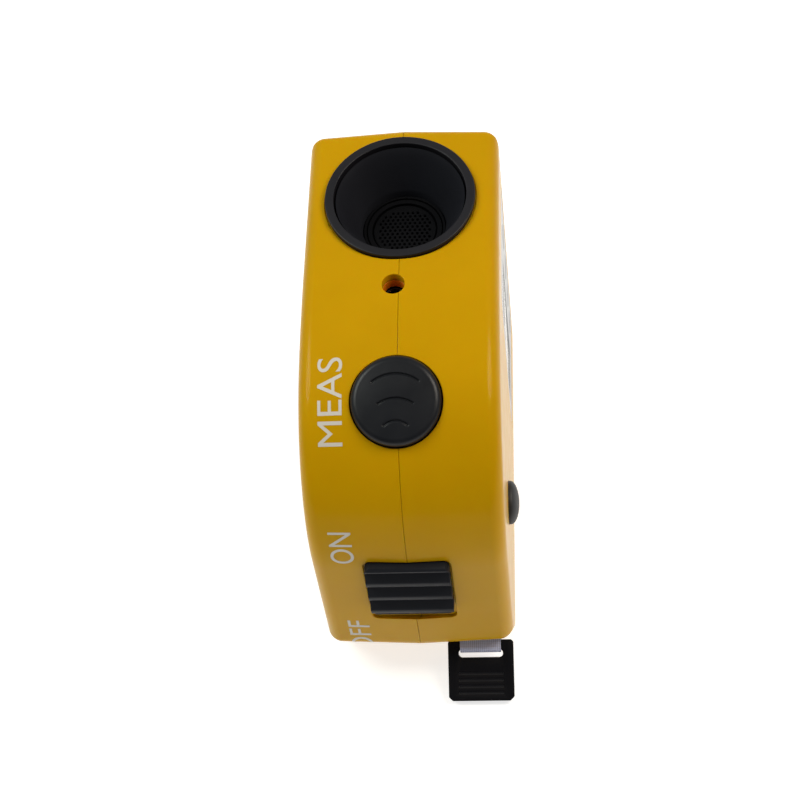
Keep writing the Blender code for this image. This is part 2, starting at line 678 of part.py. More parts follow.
def tape_end():
    """The mouth's liner, the tape's straight run, its folded end and the pull tab."""
    place = mouth_place()
    prism("tape_mouth", centred(*LINER[0], 0.6), *LINER_Z, BLACK, place, hole=centred(*LINER[1], 0.4))
    half = TAPE_WIDTH / 2
    prism("tape_strip", centred(TAPE_WIDTH, TAPE_THICKNESS, 0.05, steps=1), -TAPE_RUN, -LOOP_BACK - FIT,
          TAPE_GREY, place)
    bar_half = TAB[2] / 2

    def loop(half_height, end):
        points = []
        for centre, start in ((end - half_height, 0), (-LOOP_BACK + half_height, 180)):
            for k in range(9):
                turn = math.radians(start - 90 + 180 * k / 8)
                points.append((half_height * math.sin(turn), centre + half_height * math.cos(turn)))
        return points

    outer = loop(bar_half + FIT + TAPE_THICKNESS, LOOP_LENGTH)
    inner = loop(bar_half + FIT, LOOP_LENGTH - TAPE_THICKNESS)
    prism("tape_loop", outer, -half, half, TAPE_GREY, place, axis="X", hole=inner)

    width, length, thickness = TAB
    w = width / 2
    c = TAB_CHAMFER
    low = TAB_START
    high = low + length
    outline = [(w - c, low), (w, low + c), (w, high - c), (w - c, high),
               (c - w, high), (-w, high - c), (-w, low + c), (c - w, low)]
    tab = prism("tape_tab", outline, -thickness / 2, thickness / 2, BLACK, place, axis="Y")
    slot_middle = low + TAB_BAR + TAB_SLOT[1] / 2
    slot = prism("slot_cut", centred(TAB_SLOT[0], TAB_SLOT[1], TAB_SLOT[1] / 2 - 0.01, 0, slot_middle, 5),
                 -3, 3, None, place, axis="Y")
    combine(tab, "DIFFERENCE", slot)


def display():
    panel = prism("display_panel", rounded(PANEL_Y, PANEL_Z, 2.5), *PANEL_X, PANEL_GREY, axis="X")
    combine(panel, "DIFFERENCE",
            prism("panel_window_cut", rounded(WINDOW_Y, WINDOW_Z, 1.5), INSIDE, OUTSIDE, None, axis="X"))
    inside = [(WINDOW_Y[0] + FIT, WINDOW_Y[1] - FIT), (WINDOW_Z[0] + FIT, WINDOW_Z[1] - FIT)]
    prism("lcd_window", rounded(*inside, 1.2), *WINDOW_X, CLEAR, axis="X")
    prism("lcd_glass", rounded(LCD_Y, LCD_Z, 0.5, 1), *LCD_X, LCD_GREEN, axis="X")
    inner = [(low - FIT, high + FIT) for low, high in (LCD_Y, LCD_Z)]
    outer = [(low - LCD_FRAME, high + LCD_FRAME) for low, high in inner]
    prism("lcd_frame", rounded(*outer, 0.8, 1), *LCD_FRAME_X, BLACK, axis="X", hole=rounded(*inner, 0.5, 1))
    prism("zebra_strip", rounded(ZEBRA_Y, ZEBRA_Z, 0.3, 1), *ZEBRA_X, RUBBER, axis="X")
    prism("main_board", rounded(MAIN_BOARD_Y, MAIN_BOARD_Z, 1.0), *MAIN_BOARD_X, BOARD_GREEN, axis="X")
    prism("main_chip", rounded(CHIP_Y, CHIP_Z, 0.3, 1), *CHIP_X, BLACK, axis="X")
    mat = prism("key_mat", rounded(KEY_MAT_Y, KEY_MAT_Z, 1.0), *KEY_MAT_X, RUBBER, axis="X")
    wide, narrow = KEY_DOME
    low, shoulder, high = KEY_DOME_X
    bottom, ledge, edge, top = KEY_X
    for name, z in KEYS:
        place = across(KEY_Y, z)
        dome = [(0, low), (wide, low), (wide, shoulder), (narrow, high), (0, high)]
        combine(mat, "UNION", turned(f"{name}_dome", dome, None, place, 16))
        combine(panel, "DIFFERENCE", bore(f"{name}_panel_cut", KEY_RADIUS + FIT, INSIDE, OUTSIDE, place, 24))
        cap = [(0, bottom), (KEY_FLANGE, bottom), (KEY_FLANGE, ledge), (KEY_RADIUS, ledge), (KEY_RADIUS, edge),
               (KEY_RADIUS - 0.4, top), (0, top)]
        turned(name, cap, KEY_GREY, place, 24)
    turned("buzzer", disc(BUZZER, *BUZZER_X), BLACK, across(BUZZER_Y, BUZZER_Z), 32)


def power():
    width, depth, height = BATTERY
    top = BATTERY_Z + height
    prism("battery", centred(width, depth, 2.0, BATTERY_X, BATTERY_Y), BATTERY_Z, top, BATTERY_SKIN)
    radius, rise = TERMINAL
    for k, side in enumerate((-1, 1)):
        place = at(BATTERY_X, BATTERY_Y + side * TERMINAL_SPACING / 2, 0)
        turned(f"battery_terminal_{k + 1}", disc(radius, top + FIT, top + FIT + rise), STEEL, place, 16)
    across_clip, along_clip, thickness = CLIP
    clip_z = top + rise + 2 * FIT
    prism("battery_clip", centred(across_clip, along_clip, 3.0, BATTERY_X, BATTERY_Y), clip_z, clip_z + thickness,
          BLACK)
    start = BATTERY_X + across_clip / 2 + FIT
    end = MAIN_BOARD_X[0] - FIT
    for name, y, look in (("battery_lead_red", 1.0, WIRE_RED), ("battery_lead_black", 9.0, BLACK)):
        points = []
        for k in range(LEAD_POINTS + 1):
            share = k / LEAD_POINTS
            z = clip_z + thickness / 2 + LEAD_SAG * math.sin(math.pi * share)
            points.append((start + (end - start) * share, y, z))
        wire(name, points, LEAD_RADIUS, look)
    battery_door()


def battery_door():
    """The door, about its hinge's axis, with a round back edge that turns in the shells."""
    half = DOOR_THICKNESS / 2
    hinge_y = DOOR_Y[1] - FIT - half
    front = DOOR_Y[0] + FIT - hinge_y
    middle_x = (DOOR_X[0] + DOOR_X[1]) / 2
    wide = (DOOR_X[1] - DOOR_X[0]) / 2 - FIT
    section = [(front, -half)]
    for k in range(9):
        turn = math.radians(-90 + 180 * k / 8)
        section.append((half * math.cos(turn), half * math.sin(turn)))
    section.append((front, half))
    prism("battery_door", section, -wide, wide, YELLOW, at(middle_x, hinge_y, half), axis="X")


def main():
    for old in list(bpy.data.objects):
        bpy.data.objects.remove(old)
    housing()
    screws()
    sensor()
    laser()
    measure()
    power_slide()
    reel()
    tape_end()
    display()
    power()


main()
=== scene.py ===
"""Looks of the ultrasonic distance meter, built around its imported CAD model.

Sizes here are in millimetres in the CAD's frame: z = 0 is the rear face it measures from, +Z the measuring
direction, +Y the end with the sensor and +X the side with the display. Meshes are scaled to metres as made.
"""

import json
import math

import bmesh
import bpy
from mathutils import Matrix, Vector


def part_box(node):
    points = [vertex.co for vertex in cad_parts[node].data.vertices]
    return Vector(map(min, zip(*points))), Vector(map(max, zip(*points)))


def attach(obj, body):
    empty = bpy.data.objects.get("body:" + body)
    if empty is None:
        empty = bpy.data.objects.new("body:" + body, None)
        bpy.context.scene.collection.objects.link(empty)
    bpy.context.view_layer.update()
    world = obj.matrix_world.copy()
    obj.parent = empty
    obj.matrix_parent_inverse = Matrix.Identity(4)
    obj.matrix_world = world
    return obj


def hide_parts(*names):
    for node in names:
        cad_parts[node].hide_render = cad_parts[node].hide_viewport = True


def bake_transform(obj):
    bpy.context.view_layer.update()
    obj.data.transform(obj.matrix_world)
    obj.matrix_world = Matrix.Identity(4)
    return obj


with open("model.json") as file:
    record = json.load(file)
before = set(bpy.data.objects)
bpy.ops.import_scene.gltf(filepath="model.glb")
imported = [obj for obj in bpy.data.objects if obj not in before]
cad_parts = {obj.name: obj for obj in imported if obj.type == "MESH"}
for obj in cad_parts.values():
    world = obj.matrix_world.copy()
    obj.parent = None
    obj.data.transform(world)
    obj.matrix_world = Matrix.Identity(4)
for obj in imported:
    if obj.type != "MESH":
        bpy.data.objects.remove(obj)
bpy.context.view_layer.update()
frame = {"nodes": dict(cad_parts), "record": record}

MM = 0.001

# Camera
CAMERA_TARGET = (-0.65, -23.5, 62.3)
CAMERA_DISTANCE = 350.0
CAMERA_AZIMUTH = 10.29
CAMERA_ELEVATION = 57.88
CAMERA_ROLL = 10.37
CAMERA_LENS = 78.2

# Studio: the floor's half side is in metres, the lights' power in watts
FLOOR_HALF = 3.0
FLOOR_LEVEL = -0.02
FLOOR_COLOUR = (0.6, 0.6, 0.6)
FLOOR_GLOW = 0.72
SKY_COLOUR = (0.95, 0.97, 1.0)
SKY_STRENGTH = (0.09, 0.38)
SKY_REACH = (-0.9, 0.5)
LIT_POINT = (0, -10, 50)
LIGHT_SIZE = 300
LIGHTS = (
    ("left", (-360, 50, 530), 1.85, (0.96, 1.0, 0.93)),
    ("right", (370, 40, 530), 2.05, (1.0, 0.92, 0.8)),
)

# Shells, with the CAD's outline
HALF_WIDTH = 20.0
WALL = 1.8
SEAM = 0.015
DRAFT = math.tan(math.radians(2.4))
SIDE_FILLET = 3.0
SMALLEST_RADIUS = 0.4
FIT = 0.3
EDGE = 0.15
MERGE = 0.04
FACET_HEADING = 84.2
MOUTH_HEADING = 117.0
ROLL_HEADING = 10.6
ROLL_RADIUS = 35.8
# Sides: heading in degrees, distance from the origin, share of the draft that the side takes
SIDES = (
    (0.0, 77.1, 1.0),
    (ROLL_HEADING, 77.96, 1.0),
    (FACET_HEADING, 56.45, 1.0),
    (MOUTH_HEADING, 43.07, 1.0),
    (180.0, 0.0, 0.0),
    (270.0, 35.3, 1.0),
)
# Corner after each side: radius and number of steps
CORNERS = ((120.0, 12), (ROLL_RADIUS, 64), (4.0, 12), (3.0, 12), (5.0, 12), (2.5, 10))
# Pieces that the straight stretch after each corner is cut into
STRAIGHTS = (1, 12, 6, 24, 20, 12)

# Reach of the cutters at the top: inside the meter for the sensor, and above its highest point for all
BELOW = 60
ABOVE = 80

# Seam's joint, as (distance from the seam, depth) points: the left half's tongue and the right half's groove
TONGUE = ((SEAM, 1.15), (-0.9, 1.1), (-0.9, 0.7), (SEAM, 0.65))
GROOVE = ((SEAM, 1.25), (1.1, 1.25), (1.1, 0.55), (SEAM, 0.55))

# Sensor: heights are above the rear face
ROUND_X = -0.3
SENSOR_Y = 16.6
SENSOR_RADIUS = 15.57
SENSOR_SEAT = 76.05
SENSOR_BORE = 14.6
SENSOR_GAP = 0.22
BEZEL_BORE = 13.75
BEZEL_NECK = 14.3
BEZEL_Z = (66.4, 76.35, 77.7)
HORN_THROAT = (8.9, 9.9)
HORN_MOUTH = (13.35, 13.45)
HORN_Z = (60.5, 67.2, 72.0, 76.65)
HORN_FLARE_Z = (76.7, 67.4)
HORN_POWER = 0.85
GRILLE_RADIUS = 6.6
GRILLE_Z = (65.2, 65.7, 65.75)
HOLE_PITCH = 1.05
HOLE_RADIUS = 0.36
HOLES_WITHIN = 5.6

# Laser pointer
LASER_X = -1.1
LASER_Y = -5.2
LASER_HOLE = 2.3
LASER_CUT_FROM = 70
SLEEVE_RADII = (2.1, 2.25, 3.6)
SLEEVE_Z = (73.0, 74.9)
LENS_RADIUS = 1.3
LENS_Z = (71.8, 72.15)
LENS_CROWN = ((1.0, 72.3), (0.5, 72.42), (0, 72.45))
BARREL_RADIUS = 3.6
BARREL_MOUTH = (1.6, 1.85)
BARREL_Z = (58.3, 71.5, 72.3, 72.7)

# Measure button, and for each sound wave engraved on it the crest's place, the radius and the half width
MEASURE_HEADING = 22.1
MEASURE_RADIUS = 8.95
MEASURE_CROWN = 1.42
MEASURE_RIM = 1.5
MEASURE_GAP = 0.28
RIM_Z = (-0.35, 1.01)
MEASURE_FLANGE = 10.2
FLANGE_Z = (-4.6, -3.65)
MEASURE_STEM = (1.6, -6.5)
WAVES = ((5.15, 7.4, 4.55), (0.3, 6.0, 3.4), (-4.1, 3.3, 2.3))
WAVE_DEPTH = 0.3
WAVE_HALF_LINE = 0.26

# Power slide: pocket and slide are (width, length), and heights are above the facet. LAST_VALLEY is from the
# slide's middle, and RIDGE_RISE is the share of a ridge's pitch that rises
POCKET_FROM_ROLL = 8.35
POCKET = (17.9, 22.1)
POCKET_DEPTH = 1.0
STEM_HOLE = (4.7, 9.5)
STEM = (4.0, 5.0)
STEM_Z = (-4.6, -0.75)
SLIDE = (17.3, 18.0)
SLIDE_Z = (-0.7, 0.95)
SLIDE_CORNER = 1.8
SLIDE_TRAVEL = 3.5
RIDGE_PITCH = 5.2
LAST_VALLEY = 6.5
RIDGE_Z = (0.4, 1.62)
RIDGE_RISE = 0.44

# Rewind button on the reel's axis, and its spring
REEL_Y = -32.1
REEL_Z = 33.7
REWIND_RADIUS = 4.6
REWIND_FLANGE = 5.6
REWIND_X = (16.3, 17.4, 20.4, 22.2)
COIL_RADIUS = 3.9
COIL_WIRE = 0.15
COIL_X = (14.85, 15.9)
COIL_TURNS = 2

# Tape: heights are along the mouth's normal, and the tab is (width, length, thickness)
TAPE_X = 12.5
TAPE_WIDTH = 8.9
TAPE_THICKNESS = 0.3
TAPE_RUN = 27.0
MOUTH_Z = 7.2
MOUTH_HOLE = (11.2, 5.0)
LINER = (10.7, 4.4)
LINER_BORE = (9.5, 3.4)
LINER_Z = (-3.4, -0.2)
STRIP_END = -3.2
FOLD_START = -2.9
FOLD_END = 3.05
TAB = (14.3, 13.2, 1.6)
TAB_START = 0.3
TAB_SLOT = (9.7, 1.8)
TAB_BAR = 2.0
TAB_CORNERS = (0.5, 0.85)
TAB_GROOVE = (9.8, 0.55)
TAB_GROOVES_Z = (7.6, 9.0, 10.4, 11.8)

# Display side: cutters reach along X through the shell and through the panel
SIDE_CUT = (17, 22)
PANEL_CUT = (18, 21)
PANEL_X = (19.25, 19.95)
PANEL_Y = (-0.5, 29.5)
PANEL_Z = (12.0, 64.0)
PANEL_CORNER = 2.5
PANEL_SEAT = 18.95
PANEL_GAP = 0.15
WINDOW_X = (18.0, 19.8)
WINDOW_Y = (2.0, 16.0)
WINDOW_Z = (18.0, 56.0)
WINDOW_CORNER = 1.5
WINDOW_GAP = 0.15
BUTTON_GAP = 0.2
KEY_Y = 23.0
KEY_RADIUS = 2.8
KEY_FLANGE = 3.5
KEY_X = (16.6, 17.4)
DIGITS_X = (17.35, 17.4)
DIGITS_Z = (20.5, 29.5, 38.5, 47.5)
DIGIT = (5.2, 9.0)
DIGIT_STROKE = 0.9
KEYS = ("key_unit", "key_area", "key_memory", "key_clear")

# Words, printed at distances along the outline from a point of the sensor face
WORDS_FROM_Y = 33.9
END_Y = 35.3
PRINT_LIFT = 0.035
PRINT_STEP = 0.5

# Battery door
DOOR_X = (-14.0, 10.0)
DOOR_Y = (-11.0, 22.0)
DOOR_THICKNESS = 1.6
DOOR_GROWTH = 0.15
GRIP = (12.0, 0.7)
GRIP_PLACE = (-2.0, -7.5)
GRIP_PITCH = 1.4

# Screws: the seat's radius and reach along X, the radii of crown, head and thread, and the cross recess
SCREW_SEAT = (2.8, -21, -17.6)
SCREW_RADII = (1.5, 2.5, 1.2)
SCREW_SLOT = (2.6, 0.55, 1.0)
SCREWS = ("housing_screw_1", "housing_screw_2", "housing_screw_3", "housing_screw_4")


# Materials

def shader_nodes(name):
    made = bpy.data.materials.new(name)
    made.use_nodes = True
    nodes = made.node_tree.nodes
    return made, nodes, made.node_tree.links, nodes["Principled BSDF"]


def put(node, **values):
    """Sets a node's input sockets. An underscore stands for a space."""
    for socket, value in values.items():
        node.inputs[socket.replace("_", " ")].default_value = value


def noise(nodes, links, source, scale, detail=3.0, roughness=0.5):
    """A noise texture whose scale is in waves for each metre."""
    made = nodes.new("ShaderNodeTexNoise")
    put(made, Scale=scale, Detail=detail, Roughness=roughness)
    links.new(source, made.inputs["Vector"])
    return made.outputs["Fac"]


def ranged(nodes, links, source, low, high, start=0.3, end=0.7):
    made = nodes.new("ShaderNodeMapRange")
    put(made, From_Min=start, From_Max=end, To_Min=low, To_Max=high)
    links.new(source, made.inputs["Value"])
    return made.outputs["Result"]


def tinted(nodes, links, source, first, second):
    made = nodes.new("ShaderNodeMix")
    made.data_type = "RGBA"
    put(made, A=(*first, 1.0), B=(*second, 1.0))
    links.new(source, made.inputs["Factor"])
    return made.outputs["Result"]


def bumped(nodes, links, height, shader, depth, strength=1.0):
    made = nodes.new("ShaderNodeBump")
    put(made, Distance=depth * MM, Strength=strength)
    links.new(height, made.inputs["Height"])
    links.new(made.outputs["Normal"], shader.inputs["Normal"])
    return made


def moulded(name, colour, roughness, spread=0.06, grain=0.004, grain_scale=2600, **sockets):
    """Moulded or machined stock: cloudy colour, uneven roughness and a fine grain."""
    made, nodes, links, shader = shader_nodes(name)
    place = nodes.new("ShaderNodeTexCoord").outputs["Object"]
    clouds = ranged(nodes, links, noise(nodes, links, place, 70), 0, 1)
    darker = tuple(c * (1 - spread) for c in colour)
    lighter = tuple(min(c * (1 + spread), 1) for c in colour)
    links.new(tinted(nodes, links, clouds, darker, lighter), shader.inputs["Base Color"])
    fine = noise(nodes, links, place, grain_scale, 2)
    smears = noise(nodes, links, place, 240, 4, 0.6)
    uneven = ranged(nodes, links, smears, roughness * 0.88, roughness * 1.14)
    links.new(uneven, shader.inputs["Roughness"])
    bumped(nodes, links, fine, shader, grain)
    put(shader, **sockets)
    return made


def brushed(name, colour, roughness):
    made, nodes, links, shader = shader_nodes(name)
    place = nodes.new("ShaderNodeTexCoord").outputs["Object"]
    stretch = nodes.new("ShaderNodeMapping")
    put(stretch, Scale=(1.0, 12.0, 12.0))
    links.new(place, stretch.inputs["Vector"])
    lines = noise(nodes, links, stretch.outputs["Vector"], 900, 3)
    shades = ranged(nodes, links, lines, 0, 1)
    darker = tuple(c * 0.85 for c in colour)
    links.new(tinted(nodes, links, shades, darker, colour), shader.inputs["Base Color"])
    links.new(ranged(nodes, links, lines, roughness * 0.7, roughness * 1.4), shader.inputs["Roughness"])
    bumped(nodes, links, lines, shader, 0.003)
    put(shader, Metallic=1.0)
    return made


def woven(name, turn):
    """The tape's coated weave: warp along local Z after a turn about X, and weft along X."""
    made, nodes, links, shader = shader_nodes(name)
    place = nodes.new("ShaderNodeTexCoord").outputs["Object"]
    mapped = nodes.new("ShaderNodeMapping")
    mapped.vector_type = "TEXTURE"
    put(mapped, Rotation=(math.radians(turn), 0, 0))
    links.new(place, mapped.inputs["Vector"])
    threads = []
    for direction, pitch in (("X", 0.42), ("Z", 0.55)):
        wave = nodes.new("ShaderNodeTexWave")
        wave.wave_type = "BANDS"
        wave.bands_direction = direction
        put(wave, Scale=math.pi / 10 / (pitch * MM), Distortion=0.6, Detail_Scale=2.0)
        links.new(mapped.outputs["Vector"], wave.inputs["Vector"])
        threads.append(wave.outputs["Fac"])
    both = nodes.new("ShaderNodeMath")
    both.operation = "MULTIPLY_ADD"
    both.inputs[1].default_value = 0.25
    links.new(threads[1], both.inputs[0])
    links.new(threads[0], both.inputs[2])
    shades = ranged(nodes, links, both.outputs["Value"], 0, 1, 0.0, 1.25)
    colour = tinted(nodes, links, shades, (0.41, 0.425, 0.57), (0.68, 0.70, 0.92))
    links.new(colour, shader.inputs["Base Color"])
    bumped(nodes, links, both.outputs["Value"], shader, 0.05, 0.6)
    put(shader, Roughness=0.5)
    return made


def clear(name, colour):
    made, nodes, links, shader = shader_nodes(name)
    place = nodes.new("ShaderNodeTexCoord").outputs["Object"]
    dust = noise(nodes, links, place, 500, 4)
    links.new(ranged(nodes, links, dust, 0.04, 0.09), shader.inputs["Roughness"])
    put(shader, Base_Color=(*colour, 1.0), Transmission_Weight=1.0, IOR=1.49)
    return made


YELLOW = moulded("shell_yellow", (0.545, 0.290, 0.0004), 0.36, 0.03, 0.003, 2200,
                 Specular_IOR_Level=0.08, Specular_Tint=(1.0, 0.75, 0.15, 1.0),
                 Coat_Weight=0.32, Coat_Roughness=0.12, Coat_IOR=1.25,
                 Subsurface_Weight=0.2, Subsurface_Radius=(1.0, 0.25, 0.02), Subsurface_Scale=0.002)
# Painted glow: a redder orange yellow for the openings' walls, the shell's inside and the laser sleeve,
# standing in for light shining through the plastic in hollows
YELLOW_PAINTED_GLOW = moulded("shell_yellow_painted_glow", (0.62, 0.17, 0.0012), 0.42, 0.03, 0.003, 2200,
                      Specular_IOR_Level=0.16, Subsurface_Weight=0.3, Subsurface_Radius=(1.0, 0.2, 0.02),
                      Subsurface_Scale=0.002)
BLACK = moulded("black_abs", (0.0065, 0.0072, 0.0095), 0.36, 0.12, 0.006, 2400, Specular_IOR_Level=0.28)
SATIN = moulded("black_satin", (0.0095, 0.009, 0.0115), 0.4, 0.12, 0.006, 2600, Specular_IOR_Level=0.3)
MATTE = moulded("black_matte", (0.0042, 0.004, 0.0056), 0.5, 0.15, 0.008, 2600, Specular_IOR_Level=0.14)
RIDGED = moulded("black_slide", (0.0105, 0.0115, 0.015), 0.42, 0.05, 0.003, 2600, Specular_IOR_Level=0.1)
# Painted shade: a darker black than the horn's, for the grille and transducer at the horn's bottom so that it
# reads as deep shade
PIT = moulded("black_painted_shade", (0.0034, 0.0034, 0.0044), 0.5, 0.05, 0.003, 2600, Specular_IOR_Level=0.08)
DARK = moulded("black_horn", (0.0135, 0.014, 0.018), 0.45, 0.15, 0.003, 2600, Specular_IOR_Level=0.12)
RUBBER = moulded("black_rubber", (0.016, 0.016, 0.0165), 0.55, 0.12, 0.012, 1800, Specular_IOR_Level=0.5)
PANEL = moulded("panel_grey", (0.56, 0.57, 0.58), 0.42, 0.02, 0.004, 1800)
LCD = moulded("lcd_glass", (0.36, 0.40, 0.33), 0.16, 0.03, 0.001, 900)
SEGMENTS = moulded("lcd_segments", (0.055, 0.06, 0.055), 0.25, 0.1, 0.001, 900)
KEY = moulded("key_rubber", (0.52, 0.53, 0.54), 0.5, 0.03, 0.006, 1800)
PRINT = moulded("printed_marks", (0.60, 0.56, 0.50), 0.5, 0.05, 0.004, 2400)
BOARD = moulded("circuit_board", (0.012, 0.11, 0.045), 0.4, 0.1, 0.02, 700)
NYLON = moulded("white_nylon", (0.74, 0.72, 0.67), 0.45, 0.03, 0.004, 1800)
WIRE_RED = moulded("wire_red", (0.45, 0.012, 0.012), 0.42, 0.06, 0.003, 1800)
BATTERY = moulded("battery_print", (0.05, 0.055, 0.065), 0.32, 0.08, 0.002, 900, Metallic=0.35)
STEEL = brushed("zinc_steel", (0.60, 0.60, 0.61), 0.3)
BARREL = brushed("black_barrel", (0.035, 0.035, 0.04), 0.3)
WEAVE = woven("tape_weave", 0)
WEAVE_STRIP = woven("tape_weave_strip", MOUTH_HEADING)
CLEAR = clear("clear_acrylic", (0.93, 0.96, 0.96))
LENS = clear("laser_lens", (0.75, 0.18, 0.10))


# Mesh tools

def added(name, data):
    """A new object in the scene."""
    made = bpy.data.objects.new(name, data)
    bpy.context.scene.collection.objects.link(made)
    return made


def at(x, y, z, heading=0.0):
    """Placement at a point, with local Z along the outward normal of that heading."""
    return Matrix.Translation(Vector((x, y, z)) * MM) @ Matrix.Rotation(math.radians(heading), 4, "X")


def across(y, z, x=0.0):
    """Placement with local Z along world +X."""
    return Matrix.Translation(Vector((x, y, z)) * MM) @ Matrix.Rotation(math.radians(90), 4, "Y")


def solid(name, vertices, faces, look, place=None):
    mesh = bpy.data.meshes.new(name)
    mesh.from_pydata([Vector(v) * MM for v in vertices], [], faces)
    shape = bmesh.new()
    shape.from_mesh(mesh)
    bmesh.ops.remove_doubles(shape, verts=shape.verts, dist=0.001 * MM)
    bmesh.ops.recalc_face_normals(shape, faces=shape.faces)
    shape.to_mesh(mesh)
    shape.free()
    made = added(name, mesh)
    made.matrix_world = place or Matrix.Identity(4)
    if look:
        mesh.materials.append(look)
    smooth(made)
    return made


def smooth(made, angle=35):
    made.data.shade_smooth()
    made.data.set_sharp_from_angle(angle=math.radians(angle))


def prism(name, outline, low, high, look, place=None, axis="Z", hole=None):
    """A straight extrusion. The outline is (x, y) points along Z, (y, z) along X and (x, z) along Y.
    A hole is an outline with the same number of points."""
    def point(a, b, c):
        return {"Z": (a, b, c), "X": (c, a, b), "Y": (a, c, b)}[axis]

    loops = [[point(a, b, c) for a, b in loop] for loop in (outline, hole or ()) for c in (low, high)]
    vertices = [v for loop in loops for v in loop]
    n = len(outline)
    faces = []
    for i in range(n):
        j = (i + 1) % n
        faces.append((i, j, n + j, n + i))
        if hole:
            faces.append((2 * n + i, 2 * n + j, 3 * n + j, 3 * n + i))
            faces.append((i, j, 2 * n + j, 2 * n + i))
            faces.append((n + i, n + j, 3 * n + j, 3 * n + i))
    if not hole:
        faces.append(tuple(range(n)))
        faces.append(tuple(range(n, 2 * n)))
    return solid(name, vertices, faces, look, place)


def turned(name, profile, look, place=None, steps=96, rise=None):
    """A turned solid about local Z. The profile is (radius, height) points, closed on itself or by the axis.
    rise(x, y, height) is added to the height of each point."""
    rings = []
    vertices = []
    for radius, height in profile:
        if radius == 0:
            rings.append([len(vertices)] * steps)
            vertices.append((0, 0, height + (rise(0, 0, height) if rise else 0)))
            continue
        rings.append(list(range(len(vertices), len(vertices) + steps)))
        for k in range(steps):
            turn = 2 * math.pi * k / steps
            x, y = radius * math.cos(turn), radius * math.sin(turn)
            vertices.append((x, y, height + (rise(x, y, height) if rise else 0)))
    faces = []
    open_ended = profile[0][0] == 0
    for i in range(len(rings) - (1 if open_ended else 0)):
        a = rings[i]
        b = rings[(i + 1) % len(rings)]
        for k in range(steps):
            m = (k + 1) % steps
            face = tuple(dict.fromkeys((a[k], a[m], b[m], b[k])))
            if len(face) > 2:
                faces.append(face)
    return solid(name, vertices, faces, look, place)


def disc(radius, low, high):
    """The profile of a plain round solid."""
    return [(0, low), (radius, low), (radius, high), (0, high)]


def middle_of(node):
    """The middle of a CAD node along Y and Z."""
    low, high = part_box(node)
    return (low.y + high.y) / 2 / MM, (low.z + high.z) / 2 / MM


def swept(count, ring):
    """Faces of a solid made of count + 1 sections, each a ring of points."""
    faces = [tuple(range(ring)), tuple(count * ring + i for i in range(ring))]
    for k in range(count):
        for i in range(ring):
            j = (i + 1) % ring
            faces.append((k * ring + i, k * ring + j, (k + 1) * ring + j, (k + 1) * ring + i))
    return faces


def softened(points, radius, closed=True, steps=4):
    """The outline with each corner rounded to the radius, or to what its sides leave room for."""
    made = []
    n = len(points)
    for i, corner in enumerate(points):
        if not closed and i in (0, n - 1):
            made.append(corner)
            continue
        here = Vector(corner)
        before = Vector(points[i - 1]) - here
        after = Vector(points[(i + 1) % n]) - here
        half = before.angle(after) / 2
        if half > math.radians(85):
            made.append(corner)
            continue
        reach = min(radius / math.tan(half), 0.45 * before.length, 0.45 * after.length)
        start = here + before.normalized() * reach
        end = here + after.normalized() * reach
        for k in range(steps + 1):
            t = k / steps
            made.append(tuple(start * (1 - t) ** 2 + here * (2 * t * (1 - t)) + end * t ** 2))
    return made


def rounded(a, b, radius, steps=8):
    """A rectangle from a[0] to a[1] and b[0] to b[1] with rounded corners."""
    points = []
    for k, (ca, cb) in enumerate(((a[1], b[1]), (a[0], b[1]), (a[0], b[0]), (a[1], b[0]))):
        ma = ca - math.copysign(radius, ca - (a[0] + a[1]) / 2)
        mb = cb - math.copysign(radius, cb - (b[0] + b[1]) / 2)
        for i in range(steps + 1):
            turn = math.pi / 2 * (k + i / steps)
            points.append((ma + radius * math.cos(turn), mb + radius * math.sin(turn)))
    return points


def centred(width, height, radius, a=0.0, b=0.0, steps=8):
    """A rounded rectangle about the point (a, b)."""
    return rounded((a - width / 2, a + width / 2), (b - height / 2, b + height / 2), radius, steps)


def combine(target, operation, *others):
    """Cuts others from the target, or joins them to it, for good."""
    for other in others:
        modifier = target.modifiers.new(other.name, "BOOLEAN")
        modifier.operation = operation
        modifier.solver = "EXACT"
        modifier.material_mode = "TRANSFER"
        modifier.object = other
    settle(target)
    for other in others:
        bpy.data.objects.remove(other)


def settle(target):
    """The modifiers' result becomes the mesh."""
    bpy.context.view_layer.update()
    graph = bpy.context.evaluated_depsgraph_get()
    mesh = bpy.data.meshes.new_from_object(target.evaluated_get(graph))
    target.modifiers.clear()
    target.data = mesh


def round_edges(target, width, segments=3, angle=40):
    modifier = target.modifiers.new("edges", "BEVEL")
    modifier.width = width * MM
    modifier.segments = segments
    modifier.limit_method = "ANGLE"
    modifier.angle_limit = math.radians(angle)
    modifier.miter_outer = "MITER_ARC"
    settle(target)
    smooth(target)


def show(piece, body, slot, *nodes):
    """The piece moves with the body and stands for the CAD nodes, which it hides. The slot is not used."""
    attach(piece, body)
    if nodes:
        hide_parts(*nodes)
    return piece


# The perimeter of the shells

def normal(heading):
    turn = math.radians(heading)
    return -math.sin(turn), math.cos(turn)


def crossing(first, second):
    """The point where two sides meet, each given as (heading, distance)."""
    (a, b), (c, d) = normal(first[0]), normal(second[0])
    size = a * d - b * c
    return (first[1] * d - second[1] * b) / size, (a * second[1] - c * first[1]) / size


def perimeter(x, inset):
    """The perimeter at a distance x from the seam, as (y, z) points, moved in by the draft and the inset."""
    draft = abs(x) * DRAFT
    moved = [(h, d - inset - draft * share) for h, d, share in SIDES]
    points = []
    for i, (radius, steps) in enumerate(CORNERS):
        first = moved[i]
        second = moved[(i + 1) % len(moved)]
        r = max(radius - inset - draft, SMALLEST_RADIUS)
        y, z = crossing((first[0], first[1] - r), (second[0], second[1] - r))
        turn = (second[0] - first[0]) % 360
        for k in range(steps + 1):
            ny, nz = normal(first[0] + turn * k / steps)
            points.append((y + r * ny, z + r * nz))
    return divided(points)


